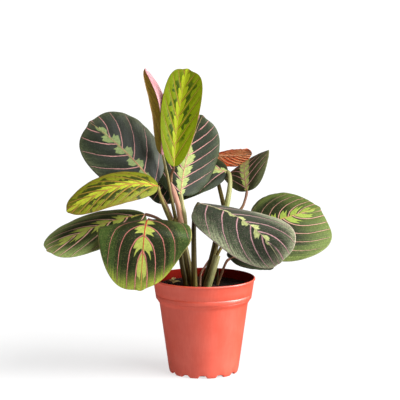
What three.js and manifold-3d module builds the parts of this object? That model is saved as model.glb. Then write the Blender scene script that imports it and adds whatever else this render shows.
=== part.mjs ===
// Prayer plant (Maranta) in a round nursery pot.
// Millimetres, +Z up. The origin is the centre of the pot's underside, on the surface it stands on.
// The plant leans and fans out mostly along X, and -Y is the side its largest leaves face.

import * as THREE from 'three';
import { mergeVertices } from 'three/addons/utils/BufferGeometryUtils.js';
import Module from 'manifold-3d';

const wasm = await Module();
wasm.setup();

// ---------------------------------------------------------------- driving dimensions

const GAP = 0.3;

const POT = {
  height: 113,
  rimRadius: 60,
  lipWidth: 1.6,
  lipHeight: 3,
  bandHeight: 89,
  bandRadius: 56.4,
  grooveHeight: 94.5,
  grooveDepth: 0.4,
  shoulderHeight: 83.8,
  shoulderRadius: 52.4,
  footHeight: 3,
  footRadius: 41.2,
  baseRadius: 40.2,
  wall: 1.4,
  floor: 2,
  segments: 60,
};

const NOTCH = { count: 12, width: 10, height: 3.6, depth: 5, turn: -2, sides: 12 };

const SOIL = { top: 103, edgeDrop: 1.2, ripple: 0.8, rippleLength: 7, rings: 5, segments: 40 };

const ROD = { sides: 8, stepsPerSpan: 3 };

const MERGE_TOLERANCE = 1e-4;

const BLADE = { along: 12, around: 16, thickness: 1.1, tipLength: 2, tipSpread: 4, tipPower: 8 };

const LITTER = { length: 10, width: 5, thickness: 2.4, sides: 8, rings: 6 };

// ---------------------------------------------------------------- surfaces

const SURFACES = {
  terracotta: { color: 0xc4604a, roughness: 0.45 },
  soil: { color: 0x2a120c, roughness: 0.95 },
  darkLeaf: { color: 0x3f4f38, roughness: 0.5 },
  youngLeaf: { color: 0x9db02a, roughness: 0.45 },
  rolledLeaf: { color: 0xc98a80, roughness: 0.5 },
  agedLeaf: { color: 0x8a4428, roughness: 0.6 },
  darkStem: { color: 0x3a2a18, roughness: 0.5 },
  oliveStem: { color: 0x7a7446, roughness: 0.5 },
  redStem: { color: 0x74503c, roughness: 0.5 },
  paleSheath: { color: 0x9aa062, roughness: 0.5 },
  pinkSheath: { color: 0xc29078, roughness: 0.5 },
  litter: { color: 0xb5a882, roughness: 0.9 },
};

function piece(name, geometry, surface, position = new THREE.Vector3()) {
  const material = new THREE.MeshStandardMaterial({ ...SURFACES[surface], metalness: 0 });
  const mesh = new THREE.Mesh(geometry, material);
  mesh.name = name;
  mesh.position.copy(position);
  return mesh;
}

// ---------------------------------------------------------------- solids and booleans

function toSolid(geometry) {
  const bare = geometry.clone();
  bare.deleteAttribute('normal');
  bare.deleteAttribute('uv');
  const merged = mergeVertices(bare, MERGE_TOLERANCE);
  return new wasm.Manifold(new wasm.Mesh({
    numProp: 3,
    vertProperties: new Float32Array(merged.attributes.position.array),
    triVerts: new Uint32Array(merged.index.array),
  }));
}

function toGeometry(solid) {
  const mesh = solid.getMesh();
  const geometry = new THREE.BufferGeometry();
  geometry.setAttribute('position', new THREE.BufferAttribute(new Float32Array(mesh.vertProperties), 3));
  geometry.setIndex(new THREE.BufferAttribute(new Uint32Array(mesh.triVerts), 1));
  geometry.computeVertexNormals();
  return geometry;
}

// What is left of a solid after its neighbours are cut away: the largest body.
function cutClear(solid, neighbours) {
  const rest = neighbours.reduce((whole, neighbour) => whole.subtract(neighbour), solid);
  const bodies = rest.decompose();
  return bodies.reduce((largest, body) => (body.volume() > largest.volume() ? body : largest));
}

// ---------------------------------------------------------------- pot

function potProfile() {
  const outerLip = POT.rimRadius + POT.lipWidth / 2;
  const lipFoot = POT.height - POT.lipHeight;
  const slope = (POT.rimRadius - POT.bandRadius) / (POT.height - POT.bandHeight);
  const bandAt = (z) => POT.bandRadius + slope * (z - POT.bandHeight);
  const grooveHalf = 1;
  const outside = [
    [0, 0],
    [POT.baseRadius, 0],
    [POT.footRadius, POT.footHeight],
    [POT.shoulderRadius, POT.shoulderHeight],
    [POT.bandRadius, POT.bandHeight],
    [bandAt(POT.grooveHeight - grooveHalf), POT.grooveHeight - grooveHalf],
    [bandAt(POT.grooveHeight) - POT.grooveDepth, POT.grooveHeight],
    [bandAt(POT.grooveHeight + grooveHalf), POT.grooveHeight + grooveHalf],
    [bandAt(lipFoot), lipFoot],
    [outerLip, lipFoot + POT.lipHeight / 3],
    [outerLip, POT.height - POT.lipHeight / 3],
    [POT.rimRadius, POT.height],
  ];
  const inside = [
    [POT.rimRadius - POT.wall, POT.height],
    [POT.bandRadius - POT.wall, POT.bandHeight],
    [POT.shoulderRadius - POT.wall, POT.shoulderHeight],
    [POT.footRadius - POT.wall, POT.floor],
    [0, POT.floor],
  ];
  return [...outside, ...inside].map(([radius, z]) => new THREE.Vector2(radius, z));
}

function latheAboutZ(profile, segments) {
  return new THREE.LatheGeometry(profile, segments).rotateX(Math.PI / 2);
}

function drainNotch(index) {
  const cutter = new THREE.CylinderGeometry(NOTCH.width / 2, NOTCH.width / 2, NOTCH.depth * 2, NOTCH.sides);
  cutter.scale(1, 1, NOTCH.height / (NOTCH.width / 2));
  cutter.translate(0, -POT.footRadius, 0);
  const turn = NOTCH.turn + (index * 360) / NOTCH.count;
  cutter.rotateZ(THREE.MathUtils.degToRad(turn));
  return toSolid(cutter);
}

function potSolid() {
  let solid = toSolid(latheAboutZ(potProfile(), POT.segments));
  for (let index = 0; index < NOTCH.count; index += 1) {
    solid = solid.subtract(drainNotch(index));
  }
  return solid;
}

// ---------------------------------------------------------------- stems, petioles and sheaths

// A rod along a smooth path through the given points, its radius running evenly from one end to the other.
function rodSolid(rod, growth = 0) {
  const path = new THREE.CatmullRomCurve3(rod.path.map((point) => new THREE.Vector3(...point)));
  const steps = (rod.path.length - 1) * ROD.stepsPerSpan;
  const outline = new THREE.Shape(new THREE.EllipseCurve(0, 0, 1, 1, 0, Math.PI * 2).getPoints(ROD.sides));
  const geometry = new THREE.ExtrudeGeometry(outline, { steps, extrudePath: path, bevelEnabled: false });
  const centres = path.getSpacedPoints(steps);
  const corners = geometry.attributes.position;
  const corner = new THREE.Vector3();
  for (let index = 0; index < corners.count; index += 1) {
    corner.fromBufferAttribute(corners, index);
    const distances = centres.map((centre) => centre.distanceTo(corner));
    const ring = distances.indexOf(Math.min(...distances));
    const radius = THREE.MathUtils.lerp(rod.radii[0], rod.radii[1], ring / steps) + growth;
    corner.sub(centres[ring]).multiplyScalar(radius).add(centres[ring]);
    corners.setXYZ(index, corner.x, corner.y, corner.z);
  }
  return toSolid(geometry);
}

// ---------------------------------------------------------------- leaf blades

// Half the blade's width at s, which runs from 0 at the base to 1 at the tip.
function halfWidth(leaf, s) {
  const rise = (s / leaf.widest) ** leaf.widest;
  const fall = ((1 - s) / (1 - leaf.widest)) ** (1 - leaf.widest);
  return (leaf.width / 2) * (rise * fall) ** leaf.roundness;
}

// The midrib is a quadratic curve from base over crown to tip. The blade's frame follows it:
// forward along the midrib, side to the blade's left, and normal out of its upper face.
function midribFrame(leaf, s) {
  const [base, crown, tip] = [leaf.base, leaf.crown, leaf.tip].map((point) => new THREE.Vector3(...point));
  const midrib = new THREE.QuadraticBezierCurve3(base, crown, tip);
  const forward = midrib.getTangent(s);
  const facing = new THREE.Vector3(...leaf.baseFacing).normalize();
  facing.lerp(new THREE.Vector3(...leaf.tipFacing).normalize(), s);
  const side = facing.cross(forward).normalize();
  const normal = forward.clone().cross(side);
  return { centre: midrib.getPoint(s).sub(base), forward, side, normal };
}

// A point of the blade, relative to its base: across runs from -1 to 1 between the margins,
// and lift is the height above the middle surface.
function bladePoint(leaf, s, across, lift, growth) {
  const { centre, forward, side, normal } = midribFrame(leaf, s);
  const reach = Math.abs(across);
  const width = halfWidth(leaf, s) + growth;
  const fold = THREE.MathUtils.degToRad(leaf.fold);
  const curl = THREE.MathUtils.degToRad(leaf.curl);
  const outward = (width * (Math.sin(fold + curl * reach) - Math.sin(fold))) / curl;
  const upward = (width * (Math.cos(fold) - Math.cos(fold + curl * reach))) / curl;
  const slant = fold + curl * reach;
  const point = BLADE.tipLength * s ** BLADE.tipPower * Math.exp(-((outward / BLADE.tipSpread) ** 2));
  return centre
    .addScaledVector(forward, point)
    .addScaledVector(side, (outward - lift * Math.sin(slant)) * Math.sign(across))
    .addScaledVector(normal, upward + lift * Math.cos(slant));
}

// The blade is a ball pressed flat and laid along the midrib, so it is thickest along the midrib
// and thins out to the margins.
function bladeGeometry(leaf, growth = 0) {
  const geometry = new THREE.SphereGeometry(1, BLADE.around, BLADE.along);
  const corners = geometry.attributes.position;
  for (let index = 0; index < corners.count; index += 1) {
    const s = (1 - corners.getY(index)) / 2;
    const ring = Math.hypot(corners.getX(index), corners.getZ(index)) || 1;
    const across = corners.getX(index) / ring;
    const fullness = Math.sqrt((2 * halfWidth(leaf, s)) / leaf.width);
    const lift = (corners.getZ(index) / ring) * (BLADE.thickness / 2 + growth) * fullness;
    const point = bladePoint(leaf, s, across, lift, growth * fullness);
    corners.setXYZ(index, point.x, point.y, point.z);
  }
  geometry.computeVertexNormals();
  return geometry;
}

// The room that a blade needs round it, where the blade really is.
function bladeRoom(leaf) {
  return toSolid(bladeGeometry(leaf, GAP).translate(...leaf.base));
}

// ---------------------------------------------------------------- soil and litter

function soilHeight(x, y) {
  return SOIL.top + SOIL.ripple * Math.sin(x / SOIL.rippleLength) * Math.cos(y / SOIL.rippleLength);
}

function soilSolid() {
  const wallGap = POT.wall + GAP;
  const slope = (POT.rimRadius - POT.bandRadius) / (POT.height - POT.bandHeight);
  const topRadius = POT.bandRadius + slope * (SOIL.top - POT.bandHeight) - wallGap;
  const profile = [
    [0, POT.floor + GAP],
    [POT.footRadius - wallGap, POT.floor + GAP],
    [POT.shoulderRadius - wallGap, POT.shoulderHeight],
    [POT.bandRadius - wallGap, POT.bandHeight],
    [topRadius, SOIL.top - SOIL.edgeDrop],
  ];
  for (let ring = SOIL.rings; ring >= 0; ring -= 1) {
    const radius = (topRadius - SOIL.edgeDrop) * (ring / SOIL.rings);
    profile.push([radius, SOIL.top]);
  }
  const geometry = latheAboutZ(profile.map(([radius, z]) => new THREE.Vector2(radius, z)), SOIL.segments);
  const corners = geometry.attributes.position;
  for (let index = 0; index < corners.count; index += 1) {
    const onTop = corners.getZ(index) > SOIL.top - GAP;
    if (onTop) corners.setZ(index, soilHeight(corners.getX(index), corners.getY(index)));
  }
  return toSolid(geometry);
}

function litterGeometry(turn) {
  const geometry = new THREE.SphereGeometry(1, LITTER.sides, LITTER.rings);
  geometry.scale(LITTER.length / 2, LITTER.width / 2, LITTER.thickness / 2);
  geometry.rotateZ(THREE.MathUtils.degToRad(turn));
  return geometry;
}

// ---------------------------------------------------------------- the plant's parts

const MATURE = { fold: -4, curl: -12, widest: 0.5, roundness: 0.78, surface: 'darkLeaf' };
const YOUNG = { fold: -6, curl: -12, widest: 0.5, roundness: 0.8, surface: 'youngLeaf' };

const LEAVES = {
  leaf_upper_left: {
    ...MATURE, base: [-57, 4, 221.4], crown: [-88, -7, 265.4], tip: [-133, 15, 294.4], width: 86,
    baseFacing: [0, -0.82, 0.57], tipFacing: [0, -0.82, 0.57], curl: -10, widest: 0.56, roundness: 0.7,
  },
  leaf_middle_left: {
    ...YOUNG, base: [-53, -20, 224], crown: [-97, -34, 238.5], tip: [-154.5, -56, 200.5], width: 49.5,
    baseFacing: [0.05, -0.66, 0.75], tipFacing: [-0.09, -0.66, 0.75], fold: -2, curl: -8, widest: 0.52,
    roundness: 0.84,
  },
  leaf_lower_left: {
    ...MATURE, base: [-69, 1, 188], crown: [-126, -22, 183.5], tip: [-178.5, -49, 153.5], width: 81,
    baseFacing: [-0.08, -0.36, 0.93], tipFacing: [-0.08, -0.36, 0.93], fold: -2, curl: -11, widest: 0.55,
    roundness: 0.8,
  },
  leaf_front_left: {
    ...MATURE, base: [-64, -34, 187], crown: [-67, -108, 200], tip: [-72, -62, 110.5], width: 108,
    baseFacing: [-0.07, -0.3, 0.95], tipFacing: [0.23, -0.88, 0.41], fold: -2, widest: 0.38,
    roundness: 0.51,
  },
  leaf_top: {
    ...YOUNG, base: [-34.5, -19, 247], crown: [-32.5, -2, 305], tip: [-19, -1, 357], width: 48,
    baseFacing: [0.2, -0.95, 0.07], tipFacing: [0.2, -0.95, 0.07], fold: 10, curl: 10, widest: 0.65,
    roundness: 0.68,
  },
  leaf_rolled: {
    ...YOUNG, base: [-48, 7, 257], crown: [-27.5, 9, 310], tip: [-67, 8, 357], width: 53,
    baseFacing: [-0.55, -0.82, 0.1], tipFacing: [-0.55, -0.82, 0.1], fold: 38, curl: 75, roundness: 0.84,
    surface: 'rolledLeaf',
  },
  leaf_centre: {
    ...MATURE, base: [-27, 9, 209], crown: [-24.5, 28, 251], tip: [-2, 40, 299], width: 79,
    baseFacing: [0.3, -0.9, 0.25], tipFacing: [0.3, -0.9, 0.25], fold: -5, widest: 0.57, roundness: 0.77,
  },
  leaf_back_centre: {
    ...MATURE, base: [29, 47, 232], crown: [-19, 43.5, 246], tip: [-67, 57, 204], width: 73,
    baseFacing: [0.13, -0.6, 0.79], tipFacing: [0.13, -0.6, 0.79], fold: -5, curl: -13, widest: 0.54,
    roundness: 0.82,
  },
  leaf_back_right: {
    ...MATURE, base: [16, 68, 250], crown: [36, 76, 247], tip: [57, 84, 249], width: 34,
    baseFacing: [0, 0.75, 0.6], tipFacing: [0, 0.75, 0.6], curl: -20, surface: 'agedLeaf',
  },
  leaf_small_right: {
    ...MATURE, base: [51.5, 30, 211], crown: [44, 45, 259], tip: [57.5, 98, 233], width: 64,
    baseFacing: [-0.42, -0.8, 0.4], tipFacing: [-0.55, -0.3, 0.8], fold: -2, curl: -10, widest: 0.58,
    roundness: 0.7,
  },
  leaf_front_right: {
    ...MATURE, base: [-5.5, -14, 203.2], crown: [62, -59, 195.2], tip: [85, -98, 149.7], width: 83.5,
    baseFacing: [-0.6, 0.25, 0.75], tipFacing: [-0.6, 0.25, 0.75], fold: -14, curl: -14, widest: 0.42,
    roundness: 0.65,
  },
  leaf_right: {
    ...MATURE, base: [59, 36, 167], crown: [99, 36, 178], tip: [139, 62, 186.5], width: 117,
    baseFacing: [0.17, -0.55, 0.82], tipFacing: [0.17, -0.55, 0.82], fold: -8, curl: -16, roundness: 0.42,
  },
  leaf_lower_right: {
    ...MATURE, base: [31, 10, 133], crown: [59, 22, 141.5], tip: [83, 36, 126], width: 57,
    baseFacing: [0, -0.35, 0.9], tipFacing: [0, -0.35, 0.9],
  },
};

// Planted rods stand in the soil. The rest spring from a rod listed before them.
const RODS = {
  stem_left: {
    path: [[-11, 1, 89], [-13, 0, 101], [-17, -2, 122], [-21.5, -3, 144], [-27, -4, 165], [-32, -4, 184]],
    radii: [3.6, 4.6], surface: 'oliveStem', planted: true,
  },
  stem_right: {
    path: [[-2, 6, 89], [-0.7, 7, 101], [9, 9.5, 130], [15.5, 12.5, 156], [21, 15, 178], [23.5, 16.5, 186]],
    radii: [3.7, 4.2], surface: 'darkStem', planted: true,
  },
  leaf_front_right_petiole: {
    path: [
      [-10.5, -15, 89], [-11, -17, 110], [-11.5, -20, 145], [-11.5, -21, 176], [-10, -19, 194.5],
      [-5.5, -14, 203.2],
    ],
    radii: [3.8, 2.4], surface: 'darkStem', planted: true,
  },
  sheath_right: {
    path: [[2, -4, 89], [4, -3, 101], [10, -1.5, 120], [15.7, 0, 139]],
    radii: [5, 4.2], surface: 'paleSheath', planted: true,
  },
  leaf_lower_right_petiole: {
    path: [[14, 7, 89], [16, 6, 101], [22, 5.5, 119], [27, 8, 130], [31, 10, 133]],
    radii: [1.8, 1.4], surface: 'redStem', planted: true,
  },
  bract: {
    path: [[-5, -4, 89], [-4.5, -4, 104], [-3.5, -3, 117], [2, -1, 127], [7, 1, 136]],
    radii: [1.9, 1], surface: 'pinkSheath', planted: true,
  },
  stub: {
    path: [[15, 13, 89], [16, 13, 108], [17, 12.5, 121]],
    radii: [1.6, 1.3], surface: 'darkStem', planted: true,
  },
  sheath_left_dark: {
    path: [[-19, 1, 89], [-20.5, 0, 104], [-24.5, -3.5, 124], [-27, -6, 142], [-27.5, -9, 157]],
    radii: [3.4, 3], surface: 'darkStem', planted: true,
  },
  leaf_right_petiole: {
    path: [[15.7, 0, 139.2], [20, 2, 147], [31, 12, 161], [47, 26, 167], [59, 36, 167]],
    radii: [2, 1.6], surface: 'darkStem',
  },
  sheath_left_pink: {
    path: [[-23, -10, 164], [-27.5, -10, 185], [-30, -11, 200], [-34, -12, 214], [-38, -12, 228]],
    radii: [3.4, 2.8], surface: 'pinkSheath',
  },
  leaf_top_petiole: {
    path: [[-38, -12, 228.4], [-37.5, -14, 236], [-35.5, -18, 243], [-34.5, -19, 247]],
    radii: [1.6, 1.4], surface: 'redStem',
  },
  leaf_centre_petiole: {
    path: [[-21, -3, 162], [-22.5, -2, 186], [-25, 1, 197], [-27, 9, 209]],
    radii: [2.9, 2.4], surface: 'paleSheath',
  },
  leaf_rolled_petiole: {
    path: [[-33, 1, 182], [-37.5, 3, 205], [-42.5, 6, 232], [-48, 7, 257]],
    radii: [2.2, 1.4], surface: 'oliveStem',
  },
  leaf_middle_left_petiole: {
    path: [[-37, -7, 178], [-43, -9, 191], [-49, -13, 207], [-52, -18, 219], [-53, -20, 224]],
    radii: [2.8, 1.8], surface: 'redStem',
  },
  leaf_upper_left_petiole: {
    path: [[-37, -1, 182], [-43.5, 3, 197], [-50, 2, 210], [-57, 4, 221.4]],
    radii: [2, 1.6], surface: 'redStem',
  },
  leaf_lower_left_petiole: {
    path: [[-29, 0, 162], [-41, -1, 174], [-56, 0, 184], [-69, 1, 188]],
    radii: [2, 1.6], surface: 'redStem',
  },
  leaf_front_left_petiole: {
    path: [[-28, -9, 156], [-41, -15, 168], [-54, -26, 181], [-64, -34, 187]],
    radii: [2.2, 1.8], surface: 'redStem',
  },
  leaf_back_centre_petiole: {
    path: [[24, 17, 186.5], [28, 20, 200], [31, 27, 218], [31, 38, 228], [29, 47, 232]],
    radii: [3.8, 2.2], surface: 'paleSheath',
  },
  leaf_back_right_petiole: {
    path: [[25, 20, 188], [22, 32, 201], [18, 50, 216], [14, 64, 232], [14, 69, 244], [16, 68, 250]],
    radii: [2.8, 2], surface: 'darkStem',
  },
  leaf_small_right_petiole: {
    path: [[23, 18, 181], [35, 20, 184], [45, 22, 192], [49.5, 26, 202.5], [51.5, 30, 211]],
    radii: [1.8, 1.5], surface: 'redStem',
  },
};

const LITTER_PIECES = {
  litter_front: { x: -33, y: 6, turn: 30 },
  litter_middle: { x: -39, y: 17, turn: -40 },
  litter_back: { x: -36, y: 29, turn: 75 },
};

// ---------------------------------------------------------------- assembly

const plant = new THREE.Group();

plant.add(piece('pot', toGeometry(potSolid()), 'terracotta'));

for (const [name, leaf] of Object.entries(LEAVES)) {
  plant.add(piece(`${name}_blade`, bladeGeometry(leaf), leaf.surface, new THREE.Vector3(...leaf.base)));
}

const rooms = Object.values(LEAVES).map(bladeRoom);
let soil = soilSolid();
for (const [name, rod] of Object.entries(RODS)) {
  const solid = cutClear(rodSolid(rod), rooms);
  const room = rodSolid(rod, GAP);
  rooms.push(room);
  if (rod.planted) soil = soil.subtract(room);
  plant.add(piece(name, toGeometry(solid), rod.surface));
}
plant.add(piece('soil', toGeometry(soil), 'soil'));

for (const [name, { x, y, turn }] of Object.entries(LITTER_PIECES)) {
  const seat = new THREE.Vector3(x, y, soilHeight(x, y) + LITTER.thickness / 2 + GAP);
  plant.add(piece(name, litterGeometry(turn), 'litter', seat));
}

export default plant;
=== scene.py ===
"""Looks of a prayer plant (Maranta) growing in a round terracotta-coloured nursery pot.

Metres, +Z up, with the origin under the middle of the pot; -Y is the side that the largest leaves face.
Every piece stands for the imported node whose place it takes, and rides on the model's one body.
"""

import logging
import math
from dataclasses import dataclass, field, replace
from enum import Enum
from typing import Annotated, Optional, Union, get_type_hints

import bmesh
import bpy
from bpy.types import ID, Material, Mesh, NodeSocket, NodeTree, Object
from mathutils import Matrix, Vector, noise


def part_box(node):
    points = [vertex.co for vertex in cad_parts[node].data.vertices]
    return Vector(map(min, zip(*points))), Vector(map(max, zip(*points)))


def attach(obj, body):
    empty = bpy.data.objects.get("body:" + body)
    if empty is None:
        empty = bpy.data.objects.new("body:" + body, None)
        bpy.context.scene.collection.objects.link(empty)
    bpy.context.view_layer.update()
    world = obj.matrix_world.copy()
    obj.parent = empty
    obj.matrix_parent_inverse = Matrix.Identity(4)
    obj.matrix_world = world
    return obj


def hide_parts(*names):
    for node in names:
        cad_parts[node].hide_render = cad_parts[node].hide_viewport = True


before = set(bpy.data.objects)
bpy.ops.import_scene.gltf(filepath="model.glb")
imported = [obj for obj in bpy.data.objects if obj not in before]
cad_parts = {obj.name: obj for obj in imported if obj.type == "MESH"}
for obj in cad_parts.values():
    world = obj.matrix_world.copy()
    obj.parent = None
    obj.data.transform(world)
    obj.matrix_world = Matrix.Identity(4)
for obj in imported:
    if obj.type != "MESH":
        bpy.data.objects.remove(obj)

LOG = logging.getLogger("prayer_plant")

BODY = "root"
MM = 0.001
DEGREE = math.radians(1.0)

Point = tuple[float, float, float]
Profile = list[tuple[float, float]]
Operand = Union["Socket", float, int, Point]
Millimetres = Annotated[float, MM]
Degrees = Annotated[float, DEGREE]
Spot = Annotated[Point, MM]
Colour = int


def paint(colour: Colour) -> tuple[float, float, float]:
    """Turns a colour as a screen shows it into the linear colour that shaders take.

    Args:
        colour: Red, green and blue, a byte each.

    Returns:
        The linear colour, 0 to 1.
    """
    shown = [part / 255 for part in colour.to_bytes(3, "big")]
    return tuple(c / 12.92 if c <= 0.04045 else ((c + 0.055) / 1.055) ** 2.4 for c in shown)


def metres(point: Point) -> Point:
    """A point given in millimetres, in metres."""
    return tuple(float(value) * MM for value in point)


def title(name: str) -> str:
    """What a tree calls the input for a size."""
    return name.replace("_", " ").title()


def measured(part: object) -> dict[str, object]:
    """Reads a dataclass's sizes in metres and radians, by the units in its annotations.

    Args:
        part: The dataclass.

    Returns:
        The sizes, by the names that a tree's inputs have for them.
    """
    values = {}
    for name, hint in get_type_hints(type(part), include_extras=True).items():
        value = getattr(part, name)
        for unit in getattr(hint, "__metadata__", ()):
            value = tuple(each * unit for each in value) if isinstance(value, tuple) else value * unit
        values[title(name)] = value
    return values


def show(name: str, data: ID) -> Object:
    """Adds an object to the scene.

    Args:
        name: Its name.
        data: Its mesh, light or camera.

    Returns:
        The object.
    """
    shown = bpy.data.objects.new(name, data)
    bpy.context.scene.collection.objects.link(shown)
    return shown


def stand_for(piece: Object, node: str, slot: str) -> None:
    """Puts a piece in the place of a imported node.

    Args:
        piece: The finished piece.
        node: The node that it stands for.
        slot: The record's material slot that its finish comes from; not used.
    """
    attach(piece, BODY)
    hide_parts(node)
    LOG.info("%s stands for %s, %d faces", piece.name, node, len(piece.data.polygons))


# ---------------------------------------------------------------- nodes


class Socket:
    """A node's output, whose operators add the Math or Vector Math nodes that they stand for."""

    def __init__(self, nodes: "Nodes", out: NodeSocket) -> None:
        """Wraps an output of a node, with the maker that added the node."""
        self.nodes, self.out = nodes, out

    def __add__(self, other: Operand) -> "Socket":
        """self + other."""
        return self.nodes.combine("ADD", self, other)

    def __radd__(self, other: Operand) -> "Socket":
        """other + self."""
        return self.nodes.combine("ADD", other, self)

    def __sub__(self, other: Operand) -> "Socket":
        """self - other."""
        return self.nodes.combine("SUBTRACT", self, other)

    def __rsub__(self, other: Operand) -> "Socket":
        """other - self."""
        return self.nodes.combine("SUBTRACT", other, self)

    def __mul__(self, other: Operand) -> "Socket":
        """self * other."""
        return self.nodes.combine("MULTIPLY", self, other)

    def __rmul__(self, other: Operand) -> "Socket":
        """other * self."""
        return self.nodes.combine("MULTIPLY", other, self)

    def __truediv__(self, other: Operand) -> "Socket":
        """self / other."""
        return self.nodes.combine("DIVIDE", self, other)

    def __rtruediv__(self, other: Operand) -> "Socket":
        """other / self."""
        return self.nodes.combine("DIVIDE", other, self)

    def __pow__(self, other: Operand) -> "Socket":
        """self to the power of other."""
        return self.nodes.combine("POWER", self, other)

    def __rpow__(self, other: Operand) -> "Socket":
        """other to the power of self."""
        return self.nodes.combine("POWER", other, self)

    def __abs__(self) -> "Socket":
        """self without its sign."""
        return self.nodes.math("ABSOLUTE", self)

    def output(self, name: str) -> "Socket":
        """Another output of the same node."""
        return Socket(self.nodes, self.out.node.outputs[name])


class Nodes:
    """Adds nodes to one shader or geometry tree."""

    def __init__(self, tree: NodeTree) -> None:
        """Starts on a tree."""
        self.tree = tree

    def add(self, kind: str, settings: dict, sockets: dict, output: Union[int, str] = 0) -> Socket:
        """Adds a node of any type.

        Args:
            kind: The node's type.
            settings: Its properties, set before its sockets.
            sockets: Values or links by input name, identifier or index; a list links several to one input.
            output: Which of its outputs to return.

        Returns:
            The output asked for.
        """
        node = self.tree.nodes.new(kind)
        for name, setting in settings.items():
            setattr(node, name, setting)
        for key, value in sockets.items():
            self._feed(self._find(node.inputs, key), value)
        shown = [out for out in node.outputs if out.enabled]
        return Socket(self, self._find(shown, output)) if shown else None

    @staticmethod
    def _find(sockets: list[NodeSocket], key: Union[int, str]) -> NodeSocket:
        """A socket by its index, or the enabled one with that name or identifier."""
        named = (s for s in sockets if s.enabled and key in (s.name, s.identifier))
        return sockets[key] if isinstance(key, int) else next(named)

    def _feed(self, socket: NodeSocket, value: object) -> None:
        """Links a value to an input, or sets it there.

        Args:
            socket: The input.
            value: A Socket, a list of them, or a constant.
        """
        for part in value if isinstance(value, list) else [value]:
            if isinstance(part, Socket):
                self.tree.links.new(part.out, socket)
            else:
                socket.default_value = (*paint(part), 1.0) if socket.type == "RGBA" else part

    def math(self, operation: str, *values: Operand) -> Socket:
        """A Math node."""
        return self.add("ShaderNodeMath", {"operation": operation}, dict(enumerate(values)))

    def vector(self, operation: str, *values: Operand) -> Socket:
        """A Vector Math node."""
        out = "Value" if operation == "DISTANCE" else "Vector"
        return self.add("ShaderNodeVectorMath", {"operation": operation}, dict(enumerate(values)), out)

    def combine(self, operation: str, first: Operand, second: Operand) -> Socket:
        """The node that an operator stands for.

        Args:
            operation: A name that Math and Vector Math share.
            first: The left operand.
            second: The right operand.

        Returns:
            The result: a vector where either operand is one.
        """
        vectors = [self._is_vector(first), self._is_vector(second)]
        if not any(vectors):
            return self.math(operation, first, second)
        if operation == "MULTIPLY" and not all(vectors):
            arrow, factor = (first, second) if vectors[0] else (second, first)
            sockets = {0: arrow, "Scale": factor}
            return self.add("ShaderNodeVectorMath", {"operation": "SCALE"}, sockets)
        return self.vector(operation, first, second)

    @staticmethod
    def _is_vector(value: Operand) -> bool:
        """Whether an operand is a vector."""
        return isinstance(value, tuple) or (isinstance(value, Socket) and value.out.type == "VECTOR")

    def join(self, x: Operand, y: Operand, z: Operand) -> Socket:
        """A vector from its three parts."""
        return self.add("ShaderNodeCombineXYZ", {}, {0: x, 1: y, 2: z})

    def split(self, vector: Socket) -> tuple[Socket, Socket, Socket]:
        """The three parts of a vector."""
        first = self.add("ShaderNodeSeparateXYZ", {}, {0: vector})
        return first, first.output("Y"), first.output("Z")

    def smooth(self, value: Operand, start: Operand, end: Operand) -> Socket:
        """Runs smoothly from 0 where the value is at start to 1 where it is at end."""
        sockets = {"Value": value, "From Min": start, "From Max": end}
        return self.add("ShaderNodeMapRange", {"interpolation_type": "SMOOTHSTEP"}, sockets)

    def larger(self, first: Operand, second: Operand) -> Socket:
        """The larger of two values."""
        return self.math("MAXIMUM", first, second)

    def smaller(self, first: Operand, second: Operand) -> Socket:
        """The smaller of two values."""
        return self.math("MINIMUM", first, second)

    def bell(self, distance: Socket) -> Socket:
        """1 at a distance of 0, dying away to both sides."""
        return self.math("EXPONENT", distance ** 2 * -1)

    def grain(self, vector: Socket, scale: float, detail: float = 2.0, roughness: float = 0.5) -> Socket:
        """Noise from -0.5 to 0.5: lumps per unit, octaves and the weight of the finer ones."""
        sockets = {"Vector": vector, "Scale": scale, "Detail": detail, "Roughness": roughness}
        return self.add("ShaderNodeTexNoise", {}, sockets) - 0.5

    def blend(self, factor: Operand, first: object, second: object, mode: str = "MIX") -> Socket:
        """Mixes two colours, from the first at a factor of 0 to the second at 1."""
        sockets = {"Factor": factor, "A": first, "B": second}
        return self.add("ShaderNodeMix", {"data_type": "RGBA", "blend_type": mode}, sockets, "Result")

    def tone(self, colour: Socket, factor: Socket) -> Socket:
        """Makes a colour lighter or darker."""
        return self.blend(1.0, colour, self.join(factor, factor, factor), "MULTIPLY")


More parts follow.
